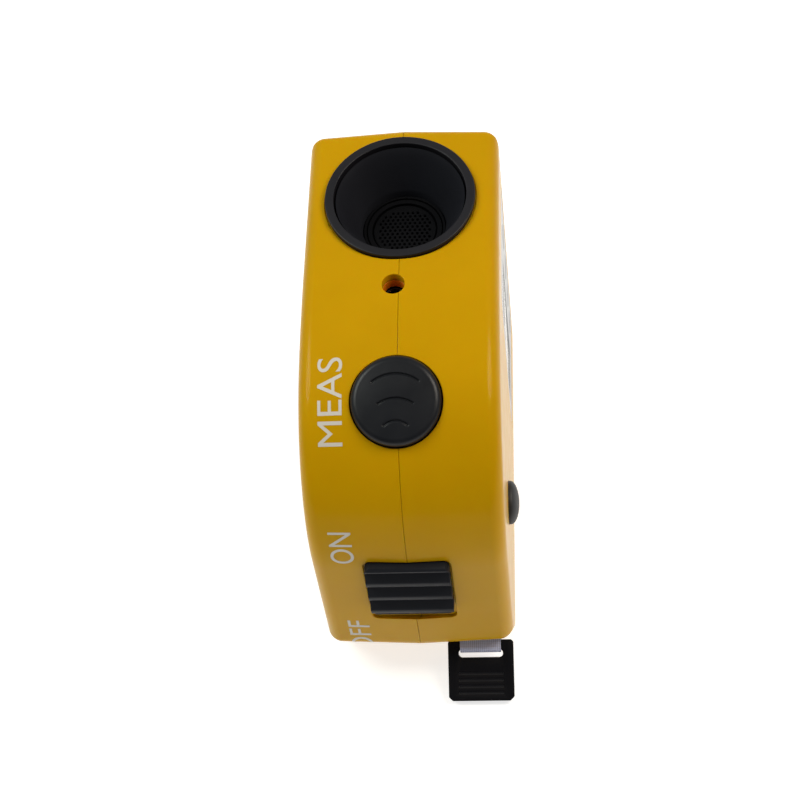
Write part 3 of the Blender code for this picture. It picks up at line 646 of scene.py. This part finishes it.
def divided(points):
    """The outline with more points on its straight stretches."""
    made = []
    last = -1
    for (_, steps), pieces in zip(CORNERS, STRAIGHTS):
        first = last + 1
        last = first + steps
        made.extend(points[first:last + 1])
        (a, b), (c, d) = points[last], points[(last + 1) % len(points)]
        for k in range(1, pieces):
            made.append((a + (c - a) * k / pieces, b + (d - b) * k / pieces))
    return made


def roll_station(heading):
    """The point of the rolled corner with that heading."""
    before = (ROLL_HEADING, SIDES[1][1] - ROLL_RADIUS)
    after = (FACET_HEADING, SIDES[2][1] - ROLL_RADIUS)
    y, z = crossing(before, after)
    ny, nz = normal(heading)
    return y + ROLL_RADIUS * ny, z + ROLL_RADIUS * nz


def pocket_place():
    """On the facet at the middle of the power slide's pocket."""
    y, z = roll_station(FACET_HEADING)
    ny, nz = normal(FACET_HEADING)
    return at(ROUND_X, y - nz * POCKET_FROM_ROLL, z + ny * POCKET_FROM_ROLL, FACET_HEADING)


def measure_place():
    """On the rolled corner at the middle of the measure button."""
    y, z = roll_station(MEASURE_HEADING)
    return at(ROUND_X, y, z, MEASURE_HEADING)


def mouth_place():
    """On the mouth's face at the tape's middle."""
    distance = SIDES[3][1] - TAPE_X * DRAFT
    ny, nz = normal(MOUTH_HEADING)
    return at(TAPE_X, (distance - nz * MOUTH_Z) / ny, MOUTH_Z, MOUTH_HEADING)


# Shells

def shell_rings(side):
    """Distance from the seam and inset of each ring, round the shell's section from the seam's outer edge."""
    flat = HALF_WIDTH - SIDE_FILLET
    rings = [(SEAM, 0.0)] + [(flat * k / 8, 0.0) for k in range(1, 9)]
    steps = 10
    for k in range(1, steps + 1):
        turn = math.pi / 2 * k / steps
        x = HALF_WIDTH - SIDE_FILLET * (1 - math.sin(turn))
        rings.append((x, SIDE_FILLET * (1 - math.cos(turn))))
    rings.append((HALF_WIDTH, SIDE_FILLET + 0.5))
    inside = [(HALF_WIDTH - WALL, WALL + 0.4), (HALF_WIDTH - WALL - 0.8, WALL), (SEAM, WALL)]
    return rings, inside + list(TONGUE if side < 0 else GROOVE)


def shell(name, side):
    """One half of the housing: a lofted cup, with a tongue or a groove along the seam."""
    outer, inner = shell_rings(side)
    loops = [[(side * x, y, z) for y, z in perimeter(max(x, 0.0), inset)] for x, inset in outer + inner]
    n = len(loops[0])
    vertices = [v for loop in loops for v in loop]
    faces = []
    for r in range(len(loops)):
        if r == len(outer) - 1:
            continue
        after = (r + 1) % len(loops)
        for i in range(n):
            j = (i + 1) % n
            faces.append((r * n + i, r * n + j, after * n + j, after * n + i))
    faces.append(tuple(range((len(outer) - 1) * n, len(outer) * n)))
    faces.append(tuple(range(len(outer) * n, (len(outer) + 1) * n)))
    made = solid(name, vertices, faces, YELLOW)
    inside = bpy.data.materials.new("shell_inside")
    made.data.materials.append(inside)
    for face in made.data.polygons:
        centre = face.center / MM
        ring = min(face.vertices) // n
        face.material_index = 1 if ring >= len(outer) or (ring == 0 and abs(centre.x) < 0.5) else 0
    return made


def soften_openings(target):
    """Rounds the edges between the outside of the shell and the rest, which takes the redder yellow of
    painted glow.
    """
    shape = bmesh.new()
    shape.from_mesh(target.data)
    bmesh.ops.remove_doubles(shape, verts=shape.verts, dist=MERGE * MM)
    bmesh.ops.dissolve_degenerate(shape, edges=shape.edges, dist=MERGE / 2 * MM)
    rim = [e for e in shape.edges if len(e.link_faces) == 2
           and {f.material_index for f in e.link_faces} != {0}
           and 0 in {f.material_index for f in e.link_faces}
           and e.calc_face_angle(0.0) > math.radians(30)]
    bmesh.ops.bevel(shape, geom=rim, offset=EDGE * MM, segments=2, profile=0.5, affect="EDGES",
                    clamp_overlap=False, material=-1)
    for face in shape.faces:
        face.material_index = min(face.material_index, 1)
    shape.to_mesh(target.data)
    shape.free()
    target.data.materials.clear()
    target.data.materials.append(YELLOW)
    target.data.materials.append(YELLOW_PAINTED_GLOW)
    smooth(target, 30)
    weighted = target.modifiers.new("normals", "WEIGHTED_NORMAL")
    weighted.keep_sharp = True
    settle(target)


def openings(cut):
    """Cutters for the openings that both halves share."""
    seat = SENSOR_RADIUS + SENSOR_GAP
    sensor = [(0, BELOW), (SENSOR_BORE, BELOW), (SENSOR_BORE, SENSOR_SEAT), (seat, SENSOR_SEAT),
              (seat, ABOVE), (0, ABOVE)]
    return [
        turned("sensor_cut", sensor, cut, at(ROUND_X, SENSOR_Y, 0), 128),
        turned("laser_cut", disc(LASER_HOLE, LASER_CUT_FROM, ABOVE), cut, at(LASER_X, LASER_Y, 0), 64),
        turned("measure_cut", disc(MEASURE_RADIUS + MEASURE_GAP, -4.5, 4), cut, measure_place(), 96),
        prism("pocket_cut", centred(*POCKET, 1.6), -POCKET_DEPTH, 3, cut, pocket_place()),
        prism("stem_cut", centred(*STEM_HOLE, 0.8), -4, 0, cut, pocket_place()),
        prism("door_cut", rounded(DOOR_X, DOOR_Y, 1.0), -1, 4, cut),
    ]


def right_openings(cut):
    """Cutters for the mouth of the tape and for the display's side."""
    panel_y = (PANEL_Y[0] - PANEL_GAP, PANEL_Y[1] + PANEL_GAP)
    panel_z = (PANEL_Z[0] - PANEL_GAP, PANEL_Z[1] + PANEL_GAP)
    panel_outline = rounded(panel_y, panel_z, PANEL_CORNER + PANEL_GAP)
    rewind_hole = disc(REWIND_RADIUS + BUTTON_GAP, *SIDE_CUT)
    made = [
        prism("mouth_cut", centred(*MOUTH_HOLE, 0.8), -6, 3, cut, mouth_place()),
        prism("panel_cut", panel_outline, PANEL_SEAT, SIDE_CUT[1], cut, axis="X"),
        prism("window_cut", rounded(WINDOW_Y, WINDOW_Z, WINDOW_CORNER), *SIDE_CUT, cut, axis="X"),
        turned("rewind_cut", rewind_hole, cut, across(REEL_Y, REEL_Z), 64),
    ]
    for name in KEYS:
        place = across(KEY_Y, middle_of(name)[1])
        made.append(turned(f"{name}_cut", disc(KEY_RADIUS + BUTTON_GAP, *SIDE_CUT), cut, place, 48))
    return made


def housing():
    """The two yellow shells with all their openings."""
    left, right = shell("shell_left", -1), shell("shell_right", 1)
    cut = bpy.data.materials.new("cut")
    combine(left, "DIFFERENCE", *openings(cut))
    combine(right, "DIFFERENCE", *openings(cut))
    combine(right, "DIFFERENCE", *right_openings(cut))
    seats = [turned(f"{name}_cut", disc(*SCREW_SEAT), cut, across(*middle_of(name)), 48) for name in SCREWS]
    combine(left, "DIFFERENCE", *seats)
    for half, node in ((left, "housing_left"), (right, "housing_right")):
        soften_openings(half)
        show(half, "housing", "yellow_shell", node)


# Studio

def add_floor():
    half = FLOOR_HALF
    corners = [(-half, -half, 0), (half, -half, 0), (half, half, 0), (-half, half, 0)]
    floor = added("floor", bpy.data.meshes.new("floor"))
    floor.data.from_pydata(corners, [], [(0, 1, 2, 3)])
    floor.location.z = FLOOR_LEVEL * MM
    look, _, _, shader = shader_nodes("floor_paper")
    put(shader, Base_Color=(*FLOOR_COLOUR, 1), Roughness=0.9,
        Emission_Color=(1, 1, 1, 1), Emission_Strength=FLOOR_GLOW)
    floor.data.materials.append(look)


def add_sky():
    """Even light from all round, stronger from the sensor's end."""
    world = bpy.data.worlds.new("studio")
    world.use_nodes = True
    nodes, links = world.node_tree.nodes, world.node_tree.links
    background = nodes["Background"]
    towards = nodes.new("ShaderNodeSeparateXYZ")
    links.new(nodes.new("ShaderNodeTexCoord").outputs["Generated"], towards.inputs[0])
    put(background, Color=(*SKY_COLOUR, 1))
    strength = ranged(nodes, links, towards.outputs["Y"], *SKY_STRENGTH, *SKY_REACH)
    links.new(strength, background.inputs["Strength"])
    bpy.context.scene.world = world


def add_lights():
    target = Vector(LIT_POINT) * MM
    for name, place, power, colour in LIGHTS:
        light = bpy.data.lights.new(name, "AREA")
        light.shape = "DISK"
        light.size = LIGHT_SIZE * MM
        light.energy = power
        light.color = colour
        made = added(name, light)
        made.location = Vector(place) * MM
        made.rotation_euler = (target - made.location).to_track_quat("-Z", "Y").to_euler()


def add_camera():
    made = added("camera", bpy.data.cameras.new("camera"))
    made.data.lens = CAMERA_LENS
    made.data.sensor_width = 36
    made.data.clip_start = 0.01
    turn = (Matrix.Rotation(math.radians(CAMERA_AZIMUTH), 4, "Z")
            @ Matrix.Rotation(math.radians(90 - CAMERA_ELEVATION), 4, "X"))
    roll = Matrix.Rotation(math.radians(-CAMERA_ROLL), 4, "Z")
    back = turn @ Vector((0, 0, 1))
    place = (Vector(CAMERA_TARGET) + back * CAMERA_DISTANCE) * MM
    made.matrix_world = Matrix.Translation(place) @ turn @ roll
    bpy.context.scene.camera = made
    bpy.context.scene.view_settings.view_transform = "Standard"


def studio():
    """Plain pale floor, soft light and the camera."""
    add_floor()
    add_sky()
    add_lights()
    add_camera()


# Pieces on the housing

def hardware():
    """The screws, with their cross recesses."""
    crown, head, thread = SCREW_RADII
    length, width, depth = SCREW_SLOT
    for name in SCREWS:
        place = across(*middle_of(name))
        low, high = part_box(name)
        top, point = low.x / MM, high.x / MM
        profile = [(0, top), (crown, top), (head, top + 0.75), (head, top + 1.6), (thread, top + 1.6),
                   (thread, point - 1.5), (0, point)]
        screw = turned(f"{name}_fine", softened(profile, 0.3, closed=False), STEEL, place, 48)
        slots = []
        for k, size in enumerate(((length, width), (width, length))):
            outline = centred(*size, 0.05, steps=2)
            slots.append(prism(f"{name}_slot_{k}", outline, top - 0.5, top + depth, STEEL, place))
        combine(screw, "DIFFERENCE", *slots)
        smooth(screw)
        show(screw, "housing", "steel", name)


def sensor():
    """The ring, the horn inside it and the perforated front of the transducer."""
    place = at(ROUND_X, SENSOR_Y, 0)
    bottom, ledge, top = BEZEL_Z
    ring = [(BEZEL_BORE, bottom), (BEZEL_NECK, bottom), (BEZEL_NECK, ledge), (SENSOR_RADIUS, ledge),
            (SENSOR_RADIUS, top), (BEZEL_BORE, top)]
    bezel = turned("sensor_ring", softened(ring, 0.22), SATIN, place, 160)
    show(bezel, "housing", "satin_black", "sensor_bezel")

    throat, neck = HORN_THROAT
    mouth, outside = HORN_MOUTH
    foot, waist, shoulder, rim = HORN_Z
    high, low = HORN_FLARE_Z
    steps = 16
    flare = []
    for k in range(steps + 1):
        t = k / steps
        flare.append((mouth - (mouth - throat) * t ** HORN_POWER, high - (high - low) * t))
    back = [(throat, foot), (neck, foot), (neck, waist), (outside, shoulder), (outside, rim)]
    horn = turned("sensor_horn", flare + back, DARK, place, 160)
    show(horn, "housing", "black_plastic", "acoustic_horn")

    below, edge, crown = GRILLE_Z
    plate = [(0, below), (GRILLE_RADIUS, below), (GRILLE_RADIUS, edge), (0, crown)]
    # The grille takes the darker black of painted shade
    grille = turned("sensor_grille", softened(plate, 0.1, closed=False), PIT, place, 96)
    centres = []
    rows = 5
    for row in range(-rows, rows + 1):
        for column in range(-rows, rows + 1):
            x = (column + 0.5 * (row % 2)) * HOLE_PITCH
            y = row * HOLE_PITCH * math.sqrt(0.75)
            if math.hypot(x, y) < HOLES_WITHIN:
                centres.append((x, y))
    holes = solid("grille_holes", *tubes(centres, HOLE_RADIUS, below - 0.3, crown + 0.25), DARK, place)
    combine(grille, "DIFFERENCE", holes)
    smooth(grille)
    show(grille, "housing", "black_plastic", "transducer_mesh")


def tubes(centres, radius, low, high, steps=10):
    """Vertices and faces of straight rods along Z."""
    vertices = []
    faces = []
    for x, y in centres:
        first = len(vertices)
        for height in (low, high):
            for k in range(steps):
                turn = 2 * math.pi * k / steps
                vertices.append((x + radius * math.cos(turn), y + radius * math.sin(turn), height))
        faces.extend(tuple(first + i for i in face) for face in swept(1, steps))
    return vertices, faces


def laser():
    """The sleeve behind the small hole, and the pointer's window and tube."""
    place = at(LASER_X, LASER_Y, 0)
    bottom, top = SLEEVE_Z
    bore, bore_top, outside = SLEEVE_RADII
    ring = [(bore, bottom), (outside, bottom), (outside, top), (bore_top, top)]
    # The sleeve's wall takes the redder yellow of painted glow
    sleeve = turned("laser_sleeve", softened(ring, 0.15), YELLOW_PAINTED_GLOW, place, 64)
    show(sleeve, "housing", "yellow_shell", "laser_bezel")
    dome = [(0, LENS_Z[0]), (LENS_RADIUS, LENS_Z[0]), (LENS_RADIUS, LENS_Z[1]), *LENS_CROWN]
    lens = turned("laser_window", softened(dome, 0.1, closed=False), LENS, place, 64)
    show(lens, "housing", "lens", "laser_lens")
    foot, floor, cone, rim = BARREL_Z
    narrow, wide = BARREL_MOUTH
    tube = [(0, foot), (BARREL_RADIUS, foot), (BARREL_RADIUS, rim), (wide, rim), (narrow, cone),
            (narrow, floor), (0, floor)]
    barrel = turned("laser_tube", softened(tube, 0.12, closed=False), BARREL, place, 64)
    show(barrel, "housing", "black_metal", "laser_barrel")


def wave_depth(x, y):
    """How deep the sound waves are engraved at a point of the measure button."""
    deepest = 0.0
    for crest, radius, half in WAVES:
        reach = math.asin(half / radius)
        turn = max(-reach, min(reach, math.atan2(x, y - (crest - radius))))
        away = math.hypot(x - radius * math.sin(turn), y - (crest - radius) - radius * math.cos(turn))
        share = max(0.0, 1 - away / WAVE_HALF_LINE)
        deepest = max(deepest, WAVE_DEPTH * (1 - (1 - share) ** 2))
    return deepest


def measure():
    """The round button: flange below the shell, rounded rim and a crowned top with the waves engraved."""
    r = MEASURE_RADIUS
    stem, stem_end = MEASURE_STEM
    below, above = FLANGE_Z
    edge, rise = RIM_Z
    profile = [(0, stem_end), (stem, stem_end), (stem, below), (MEASURE_FLANGE - 0.1, below),
               (MEASURE_FLANGE, below + 0.1), (MEASURE_FLANGE, above - 0.1), (MEASURE_FLANGE - 0.1, above),
               (r, above), (r, edge)]
    steps = 12
    for k in range(1, steps):
        turn = math.pi / 2 * k / steps
        profile.append((r - MEASURE_RIM * (1 - math.cos(turn)), edge + (rise - edge) * math.sin(turn)))
    rings = 84
    top = r - MEASURE_RIM
    for k in range(rings + 1):
        radius = top * (1 - k / rings)
        profile.append((radius, MEASURE_CROWN - (MEASURE_CROWN - rise) * (radius / top) ** 2))

    def engraved(x, y, height):
        return -wave_depth(x, y) if height > rise - 0.11 else 0.0

    button = turned("measure_cap", profile, BLACK, measure_place(), 288, engraved)
    smooth(button, 60)
    show(button, "measure_button", "black_plastic", "measure_button")


def power_slide():
    """The ridged cap, with rounded corners in plan, and the stem below it."""
    place = pocket_place()
    middle = SLIDE_TRAVEL / 2
    half = SLIDE[1] / 2
    bottom, edge = SLIDE_Z
    section = [(middle - half, bottom), (middle + half, bottom), (middle + half, edge)]
    steps = 96
    for k in range(steps + 1):
        y = half - 0.45 - (SLIDE[1] - 0.9) * k / steps
        share = (LAST_VALLEY - y) / RIDGE_PITCH % 1
        if share < RIDGE_RISE:
            height = share / RIDGE_RISE
        else:
            height = math.cos(math.pi / 2 * ((share - RIDGE_RISE) / (1 - RIDGE_RISE)) ** 1.4)
        section.append((middle + y, RIDGE_Z[0] + (RIDGE_Z[1] - RIDGE_Z[0]) * height))
    section.append((middle - half, edge))
    cap = prism("power_cap", section, -SLIDE[0] / 2, SLIDE[0] / 2, RIDGED, place, axis="X")
    outline = centred(SLIDE[0] - 0.02, SLIDE[1] + 0.4, SLIDE_CORNER, 0, middle)
    plan = prism("power_plan", outline, -2, 3, RIDGED, place)
    combine(cap, "INTERSECT", plan)
    round_edges(cap, 0.3, 3, 50)
    stem = prism("power_stem", centred(*STEM, 0.5, 0, middle), *STEM_Z, BLACK, place)
    stem.parent = cap
    stem.matrix_parent_inverse = cap.matrix_world.inverted()
    show(cap, "power_slide", "black_plastic", "power_slide")


def rewind():
    """The domed rewind button on its flange, and its spring."""
    r = REWIND_RADIUS
    flange = REWIND_FLANGE
    bottom, ledge, shoulder, top = REWIND_X
    turns = [k * math.pi / 40 for k in range(20)]
    crown = [(r * math.cos(a), shoulder + (top - shoulder) * math.sin(a)) for a in turns]
    profile = [(0, bottom), (flange - 0.2, bottom), (flange, bottom + 0.2), (flange, ledge - 0.2),
               (flange - 0.2, ledge), (r, ledge), *crown, (0, top)]
    button = turned("rewind_dome", profile, RUBBER, across(REEL_Y, REEL_Z), 96)
    show(button, "rewind_button", "rubber", "rewind_button")
    rewind_coil(across(REEL_Y, REEL_Z))


def rewind_coil(place):
    """The spring below the rewind button."""
    steps, ring = 32, 10
    count = COIL_TURNS * steps
    low, high = COIL_X
    vertices = []
    for k in range(count + 1):
        turn = 2 * math.pi * k / steps
        middle = low + (high - low) * k / count
        for i in range(ring):
            tilt = 2 * math.pi * i / ring
            r = COIL_RADIUS + COIL_WIRE * math.cos(tilt)
            vertices.append((r * math.cos(turn), r * math.sin(turn), middle + COIL_WIRE * math.sin(tilt)))
    coil = solid("rewind_coil", vertices, swept(count, ring), STEEL, place)
    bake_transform(coil)
    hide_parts("rewind_spring")


def tape():
    """The mouth's liner, the tape's straight run, its fold round the tab's bar, and the tab."""
    place = mouth_place()
    outline, bore = centred(*LINER, 0.6), centred(*LINER_BORE, 0.4)
    liner = prism("tape_guide", outline, *LINER_Z, BLACK, place, hole=bore)
    round_edges(liner, 0.1, 2)
    show(liner, "housing", "black_plastic", "tape_mouth")
    tape_run(place)
    half = TAPE_WIDTH / 2
    within = TAB[2] / 2 + FIT
    outside, inside = fold(within + TAPE_THICKNESS, FOLD_END), fold(within, FOLD_END - TAPE_THICKNESS)
    band = prism("tape_fold", outside, -half, half, WEAVE, place, axis="X", hole=inside)
    round_edges(band, 0.08, 2)
    show(band, "tape", "tape_grey", "tape_loop")
    pull_tab(place)


def tape_run(place):
    """The straight run from the reel to the mouth, cut across into many pieces."""
    length = TAPE_RUN + STRIP_END
    pieces = 160
    half, thin = TAPE_WIDTH / 2, TAPE_THICKNESS / 2
    vertices = []
    for k in range(pieces + 1):
        z = -TAPE_RUN + length * k / pieces
        for x, y in ((-half, -thin), (half, -thin), (half, thin), (-half, thin)):
            vertices.append((x, y, z))
    strip = solid("tape_run", vertices, swept(pieces, 4), WEAVE_STRIP, place)
    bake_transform(strip)
    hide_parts("tape_strip")


def fold(half_height, end):
    """A long loop with round ends, as (y, z) points."""
    points = []
    for centre, start in ((end - half_height, 0), (half_height + FOLD_START, 180)):
        for k in range(25):
            turn = math.radians(start - 90 + 180 * k / 24)
            points.append((half_height * math.sin(turn), centre + half_height * math.cos(turn)))
    return points


def pull_tab(place):
    """A flat tab with a slot for the tape and grip grooves on both faces."""
    width, length, thickness = TAB
    side, low, high = width / 2, TAB_START, TAB_START + length
    near, far = TAB_CORNERS
    outline = [(side - near, low), (side, low + near), (side, high - far), (side - far, high),
               (far - side, high), (-side, high - far), (-side, low + near), (near - side, low)]
    bar = thickness / 2
    tab = prism("pull_tab", softened(outline, 0.3), -bar, bar, MATTE, place, axis="Y")
    slot_width, slot_height = TAB_SLOT
    middle = low + TAB_BAR + slot_height / 2
    slot_outline = centred(slot_width, slot_height, slot_height / 2 - 0.01, 0, middle, 12)
    slot = prism("tab_slot", slot_outline, -3, 3, SATIN, place, axis="Y")
    combine(tab, "DIFFERENCE", slot)
    grooves = []
    for k, z in enumerate(TAB_GROOVES_Z):
        outline = centred(*TAB_GROOVE, 0.27, 0, z)
        for face in (-1, 1):
            name = f"tab_groove_{k}_{face}"
            grooves.append(prism(name, outline, face * bar - 0.2, face * bar + 0.2, SATIN, place, axis="Y"))
    combine(tab, "DIFFERENCE", *grooves)
    round_edges(tab, 0.14, 2)
    show(tab, "tape", "black_plastic", "tape_tab")


def display():
    """The panel with its window and keys, and the digits behind the window."""
    panel = prism("side_panel", rounded(PANEL_Y, PANEL_Z, PANEL_CORNER, 12), *PANEL_X, PANEL, axis="X")
    window_hole = rounded(WINDOW_Y, WINDOW_Z, WINDOW_CORNER)
    cuts = [prism("panel_window_cut", window_hole, *PANEL_CUT, PANEL, axis="X")]
    bottom, ledge = KEY_X
    for name in KEYS:
        place = across(KEY_Y, middle_of(name)[1])
        cuts.append(turned(f"{name}_panel_cut", disc(KEY_RADIUS + BUTTON_GAP, *PANEL_CUT), PANEL, place, 64))
        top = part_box(name)[1].x / MM
        cap = [(0, bottom), (KEY_FLANGE, bottom), (KEY_FLANGE, ledge), (KEY_RADIUS, ledge),
               (KEY_RADIUS, top - 0.1), (0, top)]
        key = turned(f"{name}_cap", softened(cap, 0.5, closed=False, steps=6), KEY, place, 64)
        show(key, name, frame_slot(name), name)
    combine(panel, "DIFFERENCE", *cuts)
    round_edges(panel, 0.12, 2)
    show(panel, "housing", "panel_grey", "display_panel")
    window_y = (WINDOW_Y[0] + WINDOW_GAP, WINDOW_Y[1] - WINDOW_GAP)
    window_z = (WINDOW_Z[0] + WINDOW_GAP, WINDOW_Z[1] - WINDOW_GAP)
    outline = rounded(window_y, window_z, WINDOW_CORNER - WINDOW_GAP)
    window = prism("display_window", outline, *WINDOW_X, CLEAR, axis="X")
    round_edges(window, 0.12, 2)
    show(window, "housing", "clear_window", "lcd_window")
    digits()


def digits():
    """Seven-segment digits on the display glass, side by side along Z with their tops towards +Y."""
    width, height = DIGIT
    half = DIGIT_STROKE / 2
    bars = []
    for start in DIGITS_Z:
        for level in (0.0, 0.5, 1.0):
            bars.append((start + 0.5, start + width - 0.5, level * height - half, level * height + half))
        for side in (0.0, width):
            for level in (0.0, 0.5):
                first = level * height + 0.6
                bars.append((start + side - half, start + side + half, first, first + height / 2 - 1.2))
    foot = (WINDOW_Y[0] + WINDOW_Y[1] - height) / 2
    vertices = []
    faces = []
    for z0, z1, up0, up1 in bars:
        first = len(vertices)
        for x in DIGITS_X:
            for z, up in ((z0, up0), (z1, up0), (z1, up1), (z0, up1)):
                vertices.append((x, foot + up, z))
        faces.extend(tuple(first + i for i in face) for face in swept(1, 4))
    marks = solid("display_segments", vertices, faces, SEGMENTS)
    show(marks, "housing", "lcd_glass")


def battery_door():
    """The door with its round hinge edge and a patch of grip grooves."""
    low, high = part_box("battery_door")
    middle = DOOR_THICKNESS / 2
    edge_y = low.y / MM - DOOR_GROWTH
    hinge_y = high.y / MM - middle
    section = [(edge_y, 0.0)]
    for k in range(17):
        turn = math.radians(-90 + 180 * k / 16)
        section.append((hinge_y + middle * math.cos(turn), middle + middle * math.sin(turn)))
    section.append((edge_y, DOOR_THICKNESS))
    left, right = low.x / MM - DOOR_GROWTH, high.x / MM + DOOR_GROWTH
    door = prism("door", section, left, right, YELLOW, axis="X")
    grips = []
    x, y = GRIP_PLACE
    for k in range(5):
        outline = centred(*GRIP, 0.34, x, y + GRIP_PITCH * k)
        grips.append(prism(f"door_grip_{k}", outline, -0.5, 0.4, YELLOW))
    combine(door, "DIFFERENCE", *grips)
    round_edges(door, 0.15, 2)
    show(door, "battery_door", "yellow_shell", "battery_door")


# Printed words

def outline_path():
    """The outline in the seam's plane from the sensor face to the mouth, as (distance, y, z, heading)."""
    points = perimeter(0, 0)
    headings = []
    for i, (_, steps) in enumerate(CORNERS):
        first = SIDES[i][0]
        turn = (SIDES[(i + 1) % len(SIDES)][0] - first) % 360
        headings.extend(first + turn * k / steps for k in range(steps + 1))
        headings.extend([first + turn] * (STRAIGHTS[i] - 1))
    start = (END_Y - CORNERS[-1][0], SIDES[0][1])
    stations = [(WORDS_FROM_Y - start[0], *start, 0.0)]
    for (y, z), heading in zip(points, headings):
        before = stations[-1]
        stations.append((before[0] + math.hypot(y - before[1], z - before[2]), y, z, heading))
    return stations


def printed(name, words, x_range, distances):
    """Words on the outline, which read towards the sensor with their tops towards -X."""
    text = bpy.data.curves.new(name, "FONT")
    text.body = words
    text.size = 1.0
    text.resolution_u = 8
    made = added(name, text)
    bpy.context.view_layer.update()
    mesh = bpy.data.meshes.new_from_object(made.evaluated_get(bpy.context.evaluated_depsgraph_get()))
    bpy.data.objects.remove(made)
    shape = bmesh.new()
    shape.from_mesh(mesh)
    bmesh.ops.remove_doubles(shape, verts=shape.verts, dist=1e-5)
    xs = [v.co.x for v in shape.verts]
    ys = [v.co.y for v in shape.verts]
    left, wide, bottom, tall = min(xs), max(xs) - min(xs), min(ys), max(ys) - min(ys)
    cuts = int((distances[1] - distances[0]) / PRINT_STEP)
    for k in range(1, cuts):
        geometry = shape.verts[:] + shape.edges[:] + shape.faces[:]
        point = (left + wide * k / cuts, 0, 0)
        bmesh.ops.bisect_plane(shape, geom=geometry, plane_co=point, plane_no=(1, 0, 0))
    stations = outline_path()
    for v in shape.verts:
        across_share = (v.co.y - bottom) / tall
        x = x_range[1] + (x_range[0] - x_range[1]) * across_share
        s = distances[1] + (distances[0] - distances[1]) * (v.co.x - left) / wide
        after = next(i for i, station in enumerate(stations) if station[0] > s)
        a, b = stations[after - 1], stations[after]
        t = (s - a[0]) / (b[0] - a[0])
        heading = a[3] + (b[3] - a[3]) * t
        ny, nz = normal(heading)
        out = PRINT_LIFT - abs(x) * DRAFT
        y = a[1] + (b[1] - a[1]) * t + ny * out
        z = a[2] + (b[2] - a[2]) * t + nz * out
        v.co = Vector((x, y, z)) * MM
    bmesh.ops.recalc_face_normals(shape, faces=shape.faces)
    middle = Vector((0, 0, 20)) * MM
    if sum((f.calc_center_median() - middle).dot(f.normal) for f in shape.faces) < 0:
        bmesh.ops.reverse_faces(shape, faces=shape.faces)
    shape.to_mesh(mesh)
    shape.free()
    letters = added(name, mesh)
    mesh.materials.clear()
    mesh.materials.append(PRINT)
    thick = letters.modifiers.new("ink", "SOLIDIFY")
    thick.thickness = 2 * PRINT_LIFT * MM
    thick.offset = -1
    settle(letters)
    smooth(letters)
    show(letters, "housing", "panel_grey")


def words():
    """Each word's reach across X and its distances along the outline."""
    printed("mark_measure", "MEAS", (-15.85, -10.9), (55.1, 73.2))
    printed("mark_on", "ON", (-15.4, -10.65), (92.0, 101.1))
    printed("mark_off", "OFF", (-14.95, -10.3), (123.8, 136.0))


# Inner pieces keep the CAD's shape

def frame_slot(node):
    return next(row["material_slot"] for row in frame["record"]["subparts"] if row["node"] == node)


def inner_pieces():
    looks = {"yellow_shell": YELLOW, "satin_black": SATIN, "black_plastic": BLACK, "panel_grey": PANEL,
             "clear_window": CLEAR, "lcd_glass": LCD, "rubber": RUBBER, "tape_grey": WEAVE, "steel": STEEL,
             "circuit_board": BOARD, "white_nylon": NYLON, "battery_skin": BATTERY,
             "lens": LENS, "wire_red": WIRE_RED, "key_grey": KEY, "black_metal": BARREL}
    for name, node in frame["nodes"].items():
        node.data.materials.clear()
        # The transducer's pieces take the darker black of painted shade instead of their slot's look
        node.data.materials.append(PIT if name.startswith("transducer") else looks[frame_slot(name)])


inner_pieces()
studio()
housing()
hardware()
sensor()
laser()
measure()
power_slide()
rewind()
tape()
display()
battery_door()
words()
